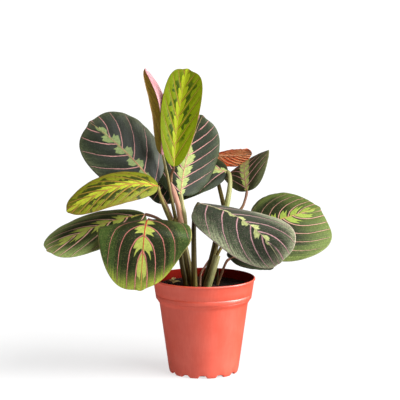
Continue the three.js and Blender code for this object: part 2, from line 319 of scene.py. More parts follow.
class Grower(Nodes):
    """A Geometry Nodes tree with named inputs, which turns a seed mesh into a finished one."""

    KINDS = {int: "Int", float: "Float", Point: "Vector"}

    def __init__(self, name: str, parts: list[type], more: dict[str, str]) -> None:
        """Makes the tree and its inputs.

        Args:
            name: The tree's name.
            parts: The dataclasses whose sizes are inputs.
            more: The other inputs' names and kinds.
        """
        super().__init__(bpy.data.node_groups.new(name, "GeometryNodeTree"))
        hints = {size: hint for part in parts for size, hint in get_type_hints(part).items()}
        kinds = {title(size): self.KINDS[hint] for size, hint in hints.items() if hint in self.KINDS}
        new = self.tree.interface.new_socket
        new("Seed", in_out="INPUT", socket_type="NodeSocketGeometry")
        self.identifiers = {
            label: new(label, in_out="INPUT", socket_type=f"NodeSocket{kind}").identifier
            for label, kind in (kinds | more).items()
        }
        new("Grown", in_out="OUTPUT", socket_type="NodeSocketGeometry")
        self.seed = self.add("NodeGroupInput", {}, {})

    def input(self, label: str) -> Socket:
        """One of the named inputs."""
        return self.seed.output(label)

    def attribute(self, name: str, kind: str = "FLOAT") -> Socket:
        """Reads a named attribute."""
        return self.add("GeometryNodeInputNamedAttribute", {"data_type": kind}, {"Name": name})

    def store(self, geometry: Socket, values: dict, kind: str = "FLOAT", domain: str = "POINT") -> Socket:
        """Stores named attributes.

        Args:
            geometry: What they are stored on.
            values: Their values, by name.
            kind: Their data type.
            domain: Their domain.

        Returns:
            The geometry with the attributes.
        """
        for name, value in values.items():
            sockets = {"Geometry": geometry, "Name": name, "Value": value}
            settings = {"data_type": kind, "domain": domain}
            geometry = self.add("GeometryNodeStoreNamedAttribute", settings, sockets)
        return geometry

    def move(self, geometry: Socket, key: str, vector: Socket) -> Socket:
        """Sets Position or Offset on a geometry."""
        return self.add("GeometryNodeSetPosition", {}, {"Geometry": geometry, key: vector})

    def end(self, geometry: Socket, materials: dict[str, object]) -> None:
        """Ends the tree in Realize Instances and Set Material.

        Args:
            geometry: The finished geometry.
            materials: For each material input, the selection of faces that it goes on.
        """
        for kind in ("GeometryNodeSetShadeSmooth", "GeometryNodeRealizeInstances"):
            geometry = self.add(kind, {}, {"Geometry": geometry})
        for label, chosen in materials.items():
            sockets = {"Geometry": geometry, "Selection": chosen, "Material": self.input(label)}
            geometry = self.add("GeometryNodeSetMaterial", {}, sockets)
        self.add("NodeGroupOutput", {}, {"Grown": geometry})

    def run(self, name: str, seed: Mesh, values: dict[str, object]) -> Object:
        """Runs the tree on a seed mesh.

        Args:
            name: The new object's name.
            seed: The mesh that the tree starts from.
            values: The inputs' values by name; others are passed over.

        Returns:
            An object with the result as a plain mesh and no modifier left on it.
        """
        grown = show(name, seed)
        modifier = grown.modifiers.new(self.tree.name, "NODES")
        modifier.node_group = self.tree
        for label, identifier in self.identifiers.items():
            modifier[identifier] = values[label]
        depsgraph = bpy.context.evaluated_depsgraph_get()
        mesh = bpy.data.meshes.new_from_object(
            grown.evaluated_get(depsgraph), preserve_all_data_layers=True, depsgraph=depsgraph
        )
        grown.modifiers.remove(modifier)
        grown.data = mesh
        mesh.name = name
        return grown


# ---------------------------------------------------------------- finishes


class Coat(Enum):
    """How shiny a surface is, as its roughness."""

    VELVET = 0.62
    SATIN = 0.48


class Surface(Nodes):
    """One material with a Principled shader, and the nodes that feed it."""

    def __init__(self, name: str, coat: Coat, constants: dict[str, object]) -> None:
        """Makes the material.

        Args:
            name: The material's name.
            coat: How shiny it is.
            constants: Other shader inputs that are the same all over.
        """
        self.material = bpy.data.materials.new(name)
        self.material.use_nodes = True
        super().__init__(self.material.node_tree)
        self.shader = self.tree.nodes["Principled BSDF"]
        for socket, value in {"Roughness": coat.value, **constants}.items():
            self.shader.inputs[socket].default_value = value

    def place(self) -> Socket:
        """Object coordinates, in millimetres."""
        return self.add("ShaderNodeTexCoord", {}, {}, "Object") * (1 / MM)

    def read(self, name: str, output: str = "Fac") -> Socket:
        """Reads one of the mesh's own attributes."""
        return self.add("ShaderNodeAttribute", {"attribute_name": name}, {}, output)

    def finish(
        self, colour: Socket, roughness: Socket, height: Socket, depth: float, coat: Optional[Socket] = None
    ) -> Material:
        """Feeds the shader.

        Args:
            colour: The base colour.
            roughness: The roughness.
            height: The relief, 0 to 1.
            depth: How deep the relief is, in millimetres.
            coat: The weight of a clear coat, if there is one.

        Returns:
            The material.
        """
        normal = self.add("ShaderNodeBump", {}, {"Height": height, "Distance": depth * MM, "Strength": 1.0})
        feeds = {"Base Color": colour, "Roughness": roughness, "Normal": normal, "Coat Weight": coat}
        for socket, value in feeds.items():
            if value is not None:
                self.tree.links.new(value.out, self.shader.inputs[socket])
        return self.material


class BladeFace(Surface):
    """The material of a blade's face, with what the blade says about each spot of it.

    Attributes:
        spot: Object coordinates, in millimetres.
        along: 0 at the base, 1 at the tip.
        across: -1 and 1 at the margins.
        reach: 0 at the midrib, 1 at the margins.
        phase: The vein count.
        part: 0 just past one vein, 1 just before the next.
        away: Millimetres to the nearest vein.
    """

    def __init__(self, name: str, constants: dict, wobble: float, coat: Coat = Coat.SATIN) -> None:
        """Makes the material and reads the blade.

        Args:
            name: The material's name.
            constants: Shader inputs that are the same all over.
            wobble: How unevenly the veins run.
            coat: How shiny the face is.
        """
        super().__init__(name, coat, constants)
        self.spot = self.place()
        self.along, self.across = self.read("along"), self.read("across")
        self.reach = abs(self.across)
        self.phase = self.read("phase") + self.grain(self.spot, 0.09) * wobble
        self.part = self.math("FRACT", self.phase)
        self.away = self.smaller(self.part, 1 - self.part) / self.read("pace")

    def rib(self, taper: float, outer: float, inner: float) -> Socket:
        """The midrib, which tapers to the tip: 0 outside the outer half width, 1 inside the inner one."""
        left = taper - self.along
        return self.smooth(self.reach * self.read("span"), left * outer, left * inner)


@dataclass(frozen=True)
class Pattern:
    """How a blade's upper face is drawn. Reaches are fractions of the way from midrib to margin.

    Attributes:
        shade, ground, margin: The greens beside the feather, further out, and at the margin and tip.
        feather: The light band along the midrib.
        vein, midrib, rim: The side veins, the midrib and the thin line along the margin.
        slot: The record's material slot.
        vein_width: Millimetres, where a vein leaves the midrib.
        midrib_width: Millimetres, at the base.
        lobe: The feather's lobe between two veins: its start, end, reach and number of teeth.
        lobe_lean: How far the lobes are turned back from the veins, in veins over the half width.
        tooth: How deep the teeth are cut, as a share of the lobe's reach.
        feather_reach: The least that the feather reaches.
        feather_full, feather_end: Where along the blade it has its full width, and dies away.
        shade_reach: How far out the dark patches go, next to one vein and next to the other.
        shade_soft: How softly they end.
        shade_clear: How much of the room between two veins they leave free at either side.
        shade_start, shade_end: Where along the blade they start and begin to fade.
        blotch: How unevenly far they go.
        margin_start, margin_from: How far out, and along, the margin's green starts.
        streaking: How strongly the dark patches fray along the veins.
        speckle: Strength of the fine mottling.
        gloss: How shiny the blade is.
        sheen, specular: Strength of its soft and of its mirror-like reflection.
    """

    shade: Colour
    ground: Colour
    margin: Colour
    feather: Colour
    vein: Colour
    midrib: Colour
    rim: Colour
    slot: str = "leaf_mature"
    vein_width: float = 0.95
    midrib_width: float = 1.5
    lobe: tuple[float, float, float, float] = (0.1, 0.88, 0.24, 3.0)
    lobe_lean: float = 1.3
    tooth: float = 0.45
    feather_reach: float = 0.03
    feather_full: float = 0.3
    feather_end: float = 0.9
    shade_reach: tuple[float, float] = (0.6, 0.8)
    shade_soft: float = 0.25
    shade_clear: float = 0.0
    shade_start: float = 0.0
    shade_end: float = 0.78
    blotch: float = 0.0
    margin_start: float = 0.8
    margin_from: float = 0.0
    streaking: float = 0.3
    speckle: float = 1.0
    gloss: Coat = Coat.SATIN
    sheen: float = 0.0
    specular: float = 0.28

    TAPER = 1.15
    WOBBLE = 0.12

    def skin(self, name: str) -> Material:
        """Draws the face.

        Args:
            name: The material's name.

        Returns:
            The material.
        """
        shine = {"Sheen Weight": self.sheen, "Sheen Roughness": 0.4, "Specular IOR Level": self.specular}
        face = BladeFace(name, shine, self.WOBBLE, self.gloss)
        reach, across, phase = face.reach, face.across, face.phase
        streaks = face.grain(face.join(phase * 9, reach * 2.2, across * 0.2), 1.0, 3.0, 0.6)
        ragged = face.grain(face.join(phase * 2.6, across * 9, face.along * 2), 1.0, 2.0, 0.6)
        fine = face.grain(face.spot, 0.5, 5.0, 0.8)
        colour = self._ground(face, reach + ragged * 0.2 + streaks * self.streaking + fine * 0.1)
        light = face.blend(face.smooth(fine + streaks, 0.0, 0.6), self.feather, self.ground)
        colour = face.blend(self._feather(face, reach + ragged * 0.05 + fine * 0.02), colour, light)
        vein, beside = self._veins(face)
        colour = face.blend(beside * 0.4, colour, self.shade)
        colour = face.blend(vein * 0.92, colour, self.vein)
        rib = face.rib(self.TAPER, self.midrib_width * 0.62, self.midrib_width * 0.3)
        colour = face.blend(rib, colour, self.midrib)
        colour = face.blend(face.smooth(reach, 0.972, 0.99) * 0.7, colour, self.rim)
        dots = face.smooth(face.grain(face.spot, 0.9, 1.0), 0.06, 0.2) * (reach * 0.6 + 0.2)
        colour = face.blend(dots * (self.speckle * 0.4), colour, self.rim)
        colour = face.tone(colour, 1 + streaks * 0.8 + fine * self.speckle * 2.4)
        roughness = self.gloss.value + face.grain(face.spot, 0.5, 3.0) * 0.3 - vein * 0.06
        return face.finish(colour, roughness, vein * 0.5 + rib * 0.7 + streaks * 0.3 + fine * 0.25, 0.35)

    def _feather(self, face: BladeFace, reach: Socket) -> Socket:
        """The light feather beside the midrib: a toothed lobe between each two veins.

        Args:
            face: The face.
            reach: How far out, with a ragged edge.

        Returns:
            1 inside the feather.
        """
        start, end, length, teeth = self.lobe
        part = face.math("FRACT", face.phase + face.reach * self.lobe_lean)
        saw = face.math("FRACT", (part - start) * teeth)
        tooth = face.smaller(saw * 1.5, (1 - saw) * 3) * self.tooth + (1 - self.tooth)
        body = face.smooth(part, start, start + 0.1) * face.smooth(part, end, end - 0.08)
        fading = face.smooth(face.along, self.feather_end + 0.06, self.feather_end - 0.1)
        grown = face.smooth(face.along, -0.05, self.feather_full) * fading
        edge = (body * tooth * (part * 0.6 + 0.6) * length + self.feather_reach) * grown
        return face.smooth(reach - edge, 0.014, -0.014)

    def _ground(self, face: BladeFace, reach: Socket) -> Socket:
        """The greens between feather and margin.

        Args:
            face: The face.
            reach: How far out, with a frayed edge.

        Returns:
            The colour.
        """
        along, part = face.along, face.part
        near, far = self.shade_reach
        edge = part * (far - near) + near
        if self.blotch:
            edge = edge + face.grain(face.spot, 0.13, 1.0) * self.blotch
        dark = face.smooth(reach - edge, self.shade_soft, -self.shade_soft)
        if self.shade_clear:
            clear = face.smaller(part, 1 - part) + reach * 0.1
            dark = dark * face.smooth(clear, self.shade_clear * 0.8, self.shade_clear * 1.2)
        if self.shade_start:
            dark = dark * face.smooth(along, self.shade_start - 0.04, self.shade_start + 0.04)
        outer = reach * face.smooth(along, self.margin_from - 0.15, self.margin_from + 0.35)
        outer = face.smooth(face.larger(outer, along * along), self.margin_start, 1.02)
        dark = dark * face.smooth(along, self.shade_end + 0.3, self.shade_end)
        return face.blend(dark, face.blend(outer, self.ground, self.margin), self.shade)

    def _veins(self, face: BladeFace) -> tuple[Socket, Socket]:
        """The side veins, of which the last keep clear of the midrib.

        Args:
            face: The face.

        Returns:
            The veins, and the darker line on both sides of them.
        """
        half = (self.TAPER - face.reach) * (self.vein_width * 0.5)
        clear = face.larger(face.smooth(face.reach, 0.05, 0.18), face.smooth(face.along, 0.84, 0.72))
        shown = face.smooth(face.reach, 0.99, 0.88) * clear
        vein = face.smooth(face.away, half + 0.22, half - 0.12) * shown
        return vein, face.smooth(face.away, half + 1.3, half + 0.2) * shown


@dataclass(frozen=True)
class Underside:
    """How a blade's lower face is drawn.

    Attributes:
        ground: The colour between the veins.
        flush: The second colour, in soft clouds.
        vein: The veins.
        crease: Depth of the relief, in millimetres.
    """

    ground: Colour
    flush: Colour
    vein: Colour
    crease: float = 0.5

    def skin(self, name: str) -> Material:
        """Draws the face.

        Args:
            name: The material's name.

        Returns:
            The material.
        """
        face = BladeFace(name, {"Sheen Weight": 0.1, "Specular IOR Level": 0.3}, 0.16)
        streaks = face.grain(face.join(face.phase * 8, face.reach * 2, face.along), 1.0, 3.0, 0.6)
        vein = face.smooth(face.away, 1.0, 0.25) * face.smooth(face.reach, 1.0, 0.85)
        rib = face.rib(1.2, 1.5, 0.6)
        clouds = face.grain(face.spot, 0.05, 3.0) + face.reach * 0.2 + streaks * 0.5
        colour = face.blend(face.smooth(clouds, -0.12, 0.3), self.ground, self.flush)
        colour = face.blend(face.larger(vein * 0.7, rib), colour, self.vein)
        colour = face.tone(colour, 1 + streaks * 0.5 + face.grain(face.spot, 0.9, 4.0, 0.7) * 0.3)
        roughness = 0.5 + face.grain(face.spot, 0.6, 3.0) * 0.2
        height = vein * 0.6 + rib + streaks * 0.5 + face.grain(face.spot, 1.4) * 0.2
        return face.finish(colour, roughness, height, self.crease)


@dataclass(frozen=True)
class Bark:
    """How a stalk, stem or sheath is drawn.

    Attributes:
        slot: The record's material slot.
        low, high: The colours at the foot and at the top.
        flank: The colour of the streaks.
        ridge: How deep the lengthwise ribs are, in millimetres.
    """

    slot: str
    low: Colour
    high: Colour
    flank: Colour
    ridge: float = 0.25

    def skin(self, name: str) -> Material:
        """Draws the skin.

        Args:
            name: The material's name.

        Returns:
            The material.
        """
        skin = Surface(name, Coat.SATIN, {"Specular IOR Level": 0.35})
        place, along = skin.place(), skin.read("along")
        ring_x, ring_y, _ = skin.split(skin.read("ring", "Vector"))
        streaks = skin.grain(skin.join(ring_x * 3, ring_y * 3, along * 1.4), 1.3, 3.0, 0.6)
        colour = skin.blend(skin.smooth(along + streaks * 0.3, 0.1, 0.9), self.low, self.high)
        colour = skin.blend(skin.smooth(streaks, -0.02, 0.12), colour, self.flank)
        colour = skin.tone(colour, 1 + skin.grain(place, 0.7, 4.0, 0.7) * 0.35)
        roughness = 0.46 + skin.grain(place, 0.5, 3.0) * 0.2
        return skin.finish(colour, roughness, streaks + skin.grain(place, 1.2, 3.0) * 0.3 + 0.5, self.ridge)


class PotSkin(Surface):
    """Satin moulded plastic with a faint chalky bloom; inside, above the soil, it is dull and drawn a
    darker red as painted shade.
    """

    BODY = 0xDE4828
    BLOOM = 0xE4583E
    # The darker red that the pot takes inside is painted shade on the inner wall above the soil.
    DAMP = 0x8E180A
    SHINE = {"IOR": 1.49, "Specular IOR Level": 0.1, "Coat Roughness": 0.42, "Coat IOR": 2.0}

    def __init__(self) -> None:
        """Draws the plastic."""
        super().__init__("terracotta_plastic", Coat.SATIN, self.SHINE)
        place, inside = self.place(), self.read("inside")
        clouds = self.grain(place, 0.035, 3.0, 0.6)
        specks = self.grain(place, 1.4, 3.0, 0.6)
        lines = self.grain(place * (1.0, 1.0, 0.06), 0.5, 3.0, 0.6)
        colour = self.blend(self.smooth(clouds + lines * 0.4, -0.2, 0.25), self.BODY, self.BLOOM)
        # Painted shade: the pot's inside, above the soil, takes the darker red.
        colour = self.tone(self.blend(inside, colour, self.DAMP), 1 + specks * 0.06 + lines * 0.08)
        roughness = 0.44 + clouds * 0.12 + specks * 0.1 + inside * 0.4
        self.finish(colour, roughness, specks * 0.5 + lines * 0.5 + 0.5, 0.08, 1 - inside)


class SoilSkin(Surface):
    """Dark, damp potting soil with brown fibres and dry crumbs."""

    DAMP = 0x220E08
    FIBRE = 0x54321E

    def __init__(self) -> None:
        """Draws the soil."""
        super().__init__("potting_soil", Coat.VELVET, {})
        place = self.place()
        lumps = self.grain(place, 0.35, 5.0, 0.7)
        fibres = self.grain(place * (0.35, 2.4, 1.0), 0.6, 4.0, 0.6)
        colour = self.blend(self.smooth(lumps + fibres, 0.02, 0.4), self.DAMP, self.FIBRE)
        self.finish(colour, 0.86 + fibres * 0.2, lumps + fibres * 0.5 + 0.5, 1.2)


class DrySkin(Surface):
    """A dry shred of old leaf, bleached, with brown spots and nerves."""

    PALE = 0xF0E096
    BROWN = 0x8C6C46

    def __init__(self) -> None:
        """Draws the shred."""
        super().__init__("dry_litter", Coat.VELVET, {})
        place = self.place()
        nerves = abs(self.grain(place * (1.0, 1.0, 0.5), 0.9))
        blots = self.grain(place, 0.4, 4.0, 0.7)
        colour = self.blend(self.smooth(blots - nerves, -0.3, 0.2), self.PALE, self.BROWN)
        self.finish(colour, 0.8 + blots * 0.2, nerves * 2 + blots + 0.5, 0.3)


MATURE_DEEP = Pattern(
    shade=0x1E2418, ground=0x363E2A, margin=0x4E5238, feather=0x84965A, vein=0xC48C86, midrib=0xB47A5E,
    rim=0x58644C, lobe=(0.2, 0.86, 0.2, 2.0), sheen=0.05,
)
MATURE_BROAD = replace(
    MATURE_DEEP, shade=0x1C2412, ground=0x2E3820, margin=0x40482C, feather=0xA0AE68, midrib=0xB8906A,
    lobe=(0.08, 0.92, 0.14, 3.0), lobe_lean=0.4, tooth=0.5, feather_reach=0.13, feather_full=0.02,
    feather_end=0.62, sheen=0.0, specular=0.2,
)
MATURE_SMALL = replace(
    MATURE_BROAD, shade=0x30321C, ground=0x545838, margin=0x706E46, feather=0xB0BA68, vein_width=0.75,
    lobe=(0.08, 0.92, 0.12, 2.0), feather_reach=0.12, feather_end=0.72,
)
# Painted shade: a darker copy of the mature colours, for the blade that lies in shadow under the front
# right one.
MATURE_DARK = Pattern(
    shade=0x14180A, ground=0x202812, margin=0x2C341C, feather=0x465428, vein=0x5A422E, midrib=0x78503C,
    rim=0x3C3C28, vein_width=0.7, margin_start=0.9, speckle=0.35, gloss=Coat.VELVET, specular=0.15,
)
MATURE_GREEN = Pattern(
    shade=0x222A12, ground=0x3E5222, margin=0xA0AE3E, feather=0xA4AE4E, vein=0xBA7068, midrib=0xB44232,
    rim=0xAAA060, vein_width=1.1, midrib_width=2.0, lobe=(0.1, 0.84, 0.22, 2.0), feather_end=0.93,
    margin_start=0.6, margin_from=0.62, streaking=0.6, speckle=0.9, specular=0.18,
)
MATURE_PALE = Pattern(
    shade=0x2E381C, ground=0x76884E, margin=0x92A25C, feather=0xA8B850, vein=0xE4B29E, midrib=0xBE965A,
    rim=0xA0A66E, vein_width=1.5, midrib_width=1.6, lobe=(0.16, 0.84, 0.3, 2.2), lobe_lean=0.6,
    feather_reach=0.02, shade_reach=(0.46, 0.68), margin_start=0.6, streaking=0.5, speckle=0.9,
    specular=0.12,
)
MATURE_OLIVE = replace(
    MATURE_PALE, shade=0x28301A, ground=0x546230, margin=0x647436, feather=0x96AA4A, vein=0xCC9A88,
    vein_width=1.0, lobe=(0.16, 0.86, 0.25, 2.2), lobe_lean=0.9, feather_reach=0.01,
    shade_reach=(0.66, 0.9), shade_end=0.5,
)
MATURE_SILVER = Pattern(
    shade=0x363E2E, ground=0x5C664C, margin=0xA4AA86, feather=0xBEC682, vein=0xCE9CA0, midrib=0xB8AC88,
    rim=0xBE9696, vein_width=1.3, midrib_width=1.3, lobe=(0.3, 0.86, 0.26, 2.4), feather_reach=-0.02,
    feather_full=0.8, feather_end=0.78, shade_reach=(0.5, 0.72), margin_start=0.7, streaking=0.7,
    speckle=1.4, sheen=0.1,
)
YOUNG_BRIGHT = Pattern(
    slot="leaf_young", shade=0x324402, ground=0x687800, margin=0x6A6E00, feather=0x929E14, vein=0xA87832,
    midrib=0xB89E46, rim=0x745422, vein_width=0.6, midrib_width=0.9, lobe=(0.1, 0.86, 0.18, 1.6),
    lobe_lean=0.0, feather_reach=0.1, feather_full=0.1, feather_end=1.2, shade_reach=(0.34, 0.56),
    shade_soft=0.05, shade_clear=0.24, shade_start=0.26, blotch=1.6, margin_start=0.9, speckle=0.5,
    specular=0.12,
)
YOUNG_BLOTCHED = replace(
    YOUNG_BRIGHT, shade=0x343C0E, ground=0x747A18, margin=0x786C22, feather=0xA8B230, vein=0xAE723E,
    midrib=0xB8683E, rim=0x8C5A32, vein_width=0.75, midrib_width=1.2, lobe=(0.1, 0.9, 0.22, 2.0),
    feather_reach=0.06, feather_end=1.05, shade_reach=(0.44, 0.7), shade_soft=0.08, shade_clear=0.18,
    shade_start=0.1, margin_start=0.8, streaking=0.6, speckle=0.7, specular=0.15,
)
ROLLED_FACE = Pattern(
    slot="leaf_rolled", shade=0xBEAC4C, ground=0xD6BE64, margin=0xDCAA78, feather=0xB4AA5A, vein=0xC88C6E,
    midrib=0xC8966E, rim=0x786E50, vein_width=0.7, margin_start=0.75, streaking=0.7, speckle=0.7,
)

UNDER_MATURE = Underside(0x687054, 0x7E4E4E, 0x96605C)
UNDER_YOUNG = Underside(0xC49678, 0xCE8C84, 0xC8786E, 0.3)
UNDER_ROLLED = Underside(0xE2B2B6, 0xCE8C92, 0xC4787C, 0.3)
UNDER_AGED = Underside(0xFFAC6C, 0xFF6832, 0xFFBA86, 1.4)
STALK_OLIVE = Bark("stalk_olive", 0x686028, 0x9E9050, 0x382614)
STALK_DARK = Bark("stalk_dark", 0x74662A, 0x48401C, 0x24160C)
STALK_RED = Bark("stalk_red", 0x98764E, 0x76503A, 0x543022)
SHEATH_PALE = Bark("sheath_pale", 0x96985C, 0xA8A670, 0x665C34, 0.4)
SHEATH_PINK = Bark("sheath_pink", 0xC49678, 0xCE9682, 0x966E4E, 0.4)


# ---------------------------------------------------------------- leaf blades


@dataclass(frozen=True)
class LeafShape:
    """A blade's place and form.

    Attributes:
        base, crown, tip: The midrib's start, the point that it bends towards and its end.
        width: The greatest width, measured along the surface.
        base_facing, tip_facing: Where the upper face looks at the base, and at the tip if that differs.
        fold: Rise of each half at the midrib.
        curl: How much more each half turns up by its margin.
        widest: Where along the midrib the blade is widest.
        roundness: Below 1 for a blunter outline.
        veins: Side veins on each half.
        reach: How far out the first vein would get by the tip, over half the greatest width.
        arch: 1 for straight veins; above it they leave the midrib squarely and bend forward.
        lead, stagger: The vein count at the base on the right half, and how much more it is on the left.
        ruffle: How far the margin waves up and down.
        quilting: How far the blade puffs up between two veins.
    """

    base: Spot
    crown: Spot
    tip: Spot
    width: Millimetres
    base_facing: Point
    tip_facing: Optional[Point] = None
    fold: Degrees = -4
    curl: Degrees = -12
    widest: float = 0.5
    roundness: float = 0.78
    veins: float = 7.0
    reach: float = 1.5
    arch: float = 1.6
    lead: float = 0.5
    stagger: float = 0.2
    ruffle: Millimetres = 1.4
    quilting: Millimetres = 0.55


@dataclass
class BladeRule(Grower):
    """The rule that every blade grows by, as one Geometry Nodes tree.

    Attributes:
        rows: Points along the midrib.
        columns: Points from margin to margin; an odd number, so that one lies on the midrib.
        gathering: Above 1, the columns stand closer beside the midrib.
        thickness: Thickness at the midrib.
        tip_length, tip_spread: Length and half width of the small point.
        keel, keel_spread: Height and half width of the midrib on the underside.
        basal: How thickly the veins that start at the base itself stand, over the others.
        slant: How far a vein leans forward where it leaves the midrib.
        s: 0 at the base, 1 at the tip.
        t: -1 and 1 at the margins.
        span: Half the blade's width at s.
    """

    rows: int = 120
    columns: int = 71
    gathering: float = 1.35
    thickness: Millimetres = 0.7
    tip_length: Millimetres = 2.0
    tip_spread: Millimetres = 4.0
    keel: Millimetres = 0.9
    keel_spread: Millimetres = 0.9
    basal: float = 0.5
    slant: float = 0.3

    WELD = 0.002 * MM
    STEP = 0.3 * MM
    LEAST_PACE = 0.001

    def __post_init__(self) -> None:
        """Builds the tree."""
        more = {"Tip Facing": "Vector", "Variation": "Float", "Upper": "Material", "Lower": "Material"}
        super().__init__("blade_rule", [BladeRule, LeafShape], more)
        self.s, self.t = self.attribute("along"), self.attribute("across")
        self.span = self._span()
        veins = self._veins()
        sheets = [self._sheet(1.0, veins), self._sheet(-1.0, veins)]
        whole = self.add("GeometryNodeJoinGeometry", {}, {"Geometry": sheets})
        whole = self.add("GeometryNodeMergeByDistance", {}, {"Geometry": whole, "Distance": self.WELD})
        self.end(whole, {"Upper": True, "Lower": self.attribute("lower_face", "BOOLEAN")})

    def _sheet(self, side: float, veins: dict[str, Socket]) -> Socket:
        """One of the blade's two faces.

        Args:
            side: 1 for the upper face, -1 for the lower.
            veins: What the face keeps about its veins.

        Returns:
            The sheet, in place.
        """
        size = {"Vertices X": self.input("Rows"), "Vertices Y": self.input("Columns")}
        sheet = self.add("GeometryNodeMeshGrid", {}, {"Size X": 1.0, "Size Y": 2.0, **size})
        x, y, _ = self.split(self.add("GeometryNodeInputPosition", {}, {}))
        along = (1 - self.math("COSINE", (x + 0.5) * math.pi)) / 2
        across = self.math("SIGN", y) * abs(y) ** self.input("Gathering")
        sheet = self.store(sheet, {"along": along, "across": across})
        sheet = self.store(sheet, {"span": self.span * (1 / MM), **veins})
        sheet = self.store(sheet, {"lower_face": side < 0}, "BOOLEAN", "FACE")
        sheet = self.move(sheet, "Position", self._place(side))
        return self.add("GeometryNodeFlipFaces", {}, {"Mesh": sheet}) if side < 0 else sheet

    def _span(self) -> Socket:
        """Half the blade's width.

        Returns:
            The half width at s.
        """
        widest = self.input("Widest")
        rise = (self.s / widest) ** widest
        fall = ((1 - self.s) / (1 - widest)) ** (1 - widest)
        return (rise * fall) ** self.input("Roundness") * self.input("Width") * 0.5

    def _veins(self) -> dict[str, Socket]:
        """Where the side veins run.

        Returns:
            The phase, a vein count that is whole on each vein, and the pace, its change per millimetre.
        """
        out = abs(self.t) * self.span
        length = self.vector("DISTANCE", self.input("Base"), self.input("Tip"))
        count = self._count(self.s, out)
        forward = self._count(self.smaller(self.s + self.STEP / length, 0.999), out) - count
        sideways = self._count(self.s, out + self.STEP) - count
        pace = self.math("SQRT", forward * forward + sideways * sideways) * (MM / self.STEP)
        half = self.larger(self.smaller(self.t * 400, 1.0), 0.0)
        return {"phase": count + half * self.input("Stagger"), "pace": self.larger(pace, self.LEAST_PACE)}

    def _count(self, s: Socket, out: Socket) -> Socket:
        """Counts the veins up to a point of the blade.

        A vein that leaves the midrib at s0 follows
        (1 - s) ** arch + (y + slant) ** arch - slant ** arch = (1 - s0) ** arch,
        where y is the distance out over half the greatest width and the reach.

        Args:
            s: 0 at the base, 1 at the tip.
            out: How far from the midrib, along the surface.

        Returns:
            The count, which is whole on each vein.
        """
        arch, slant = self.input("Arch"), self.input("Slant")
        y = out / (self.input("Width") * self.input("Reach") * 0.5)
        bent = (1 - s) ** arch + (y + slant) ** arch - slant ** arch
        start = 1 - self.larger(bent, 0.0) ** (1 / arch)
        inside = self.math("GREATER_THAN", start, 0.0)
        crowding = inside + (1 - inside) * self.input("Basal")
        return start * self.input("Veins") * crowding + self.input("Lead")

    def _place(self, side: float) -> Socket:
        """The blade's surface in space.

        Args:
            side: 1 for the upper face, -1 for the lower.

        Returns:
            The position.
        """
        base, crown, tip = (self.input(label) for label in ("Base", "Crown", "Tip"))
        s, rest = self.s, 1 - self.s
        centre = base * (rest * rest) + crown * (s * rest * 2) + tip * (s * s)
        forward = self.vector("NORMALIZE", (crown - base) * rest + (tip - crown) * s)
        at_base, at_tip = (self.vector("NORMALIZE", self.input(f"{end} Facing")) for end in ("Base", "Tip"))
        sideways = self.vector("CROSS_PRODUCT", at_base * rest + at_tip * s, forward)
        sideways = self.vector("NORMALIZE", sideways)
        normal = self.vector("CROSS_PRODUCT", forward, sideways)
        hand, fold, curl = self.math("SIGN", self.t), self.input("Fold"), self.input("Curl")
        turn = fold + curl * abs(self.t)
        outward = (self.math("SINE", turn) - self.math("SINE", fold)) * self.span / curl
        upward = (self.math("COSINE", fold) - self.math("COSINE", turn)) * self.span / curl
        lift = self._lift(hand, outward, side)
        point = self.bell(outward / self.input("Tip Spread")) * s ** 8 * self.input("Tip Length")
        return (
            centre
            + forward * point
            + sideways * ((outward - lift * self.math("SINE", turn)) * hand)
            + normal * (upward + lift * self.math("COSINE", turn))
        )

    def _lift(self, hand: Socket, outward: Socket, side: float) -> Socket:
        """Height of a face above the blade's middle surface.

        Args:
            hand: Which half of the blade.
            outward: Distance from the midrib.
            side: 1 for the upper face, -1 for the lower.

        Returns:
            The height.
        """
        s, a = self.s, abs(self.t)
        full = self.math("SQRT", self.span * 2 / self.input("Width"))
        height = self.input("Thickness") * 0.5 * full * (1 - a ** 6) * side
        part = self.math("FRACT", self.attribute("phase")) * 2 - 1
        puff = (1 - part * part) * self.smooth(a, 0.02, 0.25) * self.smooth(a, 1.0, 0.6)
        wave = self.grain(self.join(s * 5, hand * 3, self.input("Variation")), 1.0, 1.0)
        wave = wave * a ** 3 * self.smooth(s, 0.0, 0.15) * self.smooth(s, 1.0, 0.85)
        height = height + puff * self.input("Quilting") * full + wave * 2 * self.input("Ruffle")
        if side < 0:
            ridge = self.bell(outward / self.input("Keel Spread"))
            height = height - ridge * self.input("Keel") * full * (1.1 - s)
        return height

    def grow(
        self, name: str, shape: LeafShape, upper: Material, lower: Material, variation: float
    ) -> Object:
        """Grows one blade.

        Args:
            name: The piece's name.
            shape: Its place and form.
            upper: The upper face's material.
            lower: The lower face's material.
            variation: Where the margin's waves are read, so that no two blades are alike.

        Returns:
            The blade.
        """
        values = {**measured(self), **measured(shape), "Upper": upper, "Lower": lower}
        values |= {"Tip Facing": shape.tip_facing or shape.base_facing, "Variation": variation}
        return self.run(name, bpy.data.meshes.new(name), values)


@dataclass
class Foliage:
    """The thirteen leaf blades.

    Attributes:
        rule: The rule that they grow by.
        leaves: Each leaf's upper face, lower face and shape.
    """

    rule: BladeRule
    leaves: dict[str, tuple[Pattern, Underside, LeafShape]]

    VARIATION = 7.3

    def build(self) -> None:
        """Grows, dresses and places every blade."""
        skins: dict[object, Material] = {}
        for index, (leaf, (upper, lower, shape)) in enumerate(self.leaves.items()):
            for finish, label in ((upper, "upper"), (lower, "lower")):
                if finish not in skins:
                    skins[finish] = finish.skin(f"{label}_face_{len(skins)}")
            name, variation = f"{leaf}_leaf", index * self.VARIATION
            piece = self.rule.grow(name, shape, skins[upper], skins[lower], variation)
            stand_for(piece, f"leaf_{leaf}_blade", upper.slot)


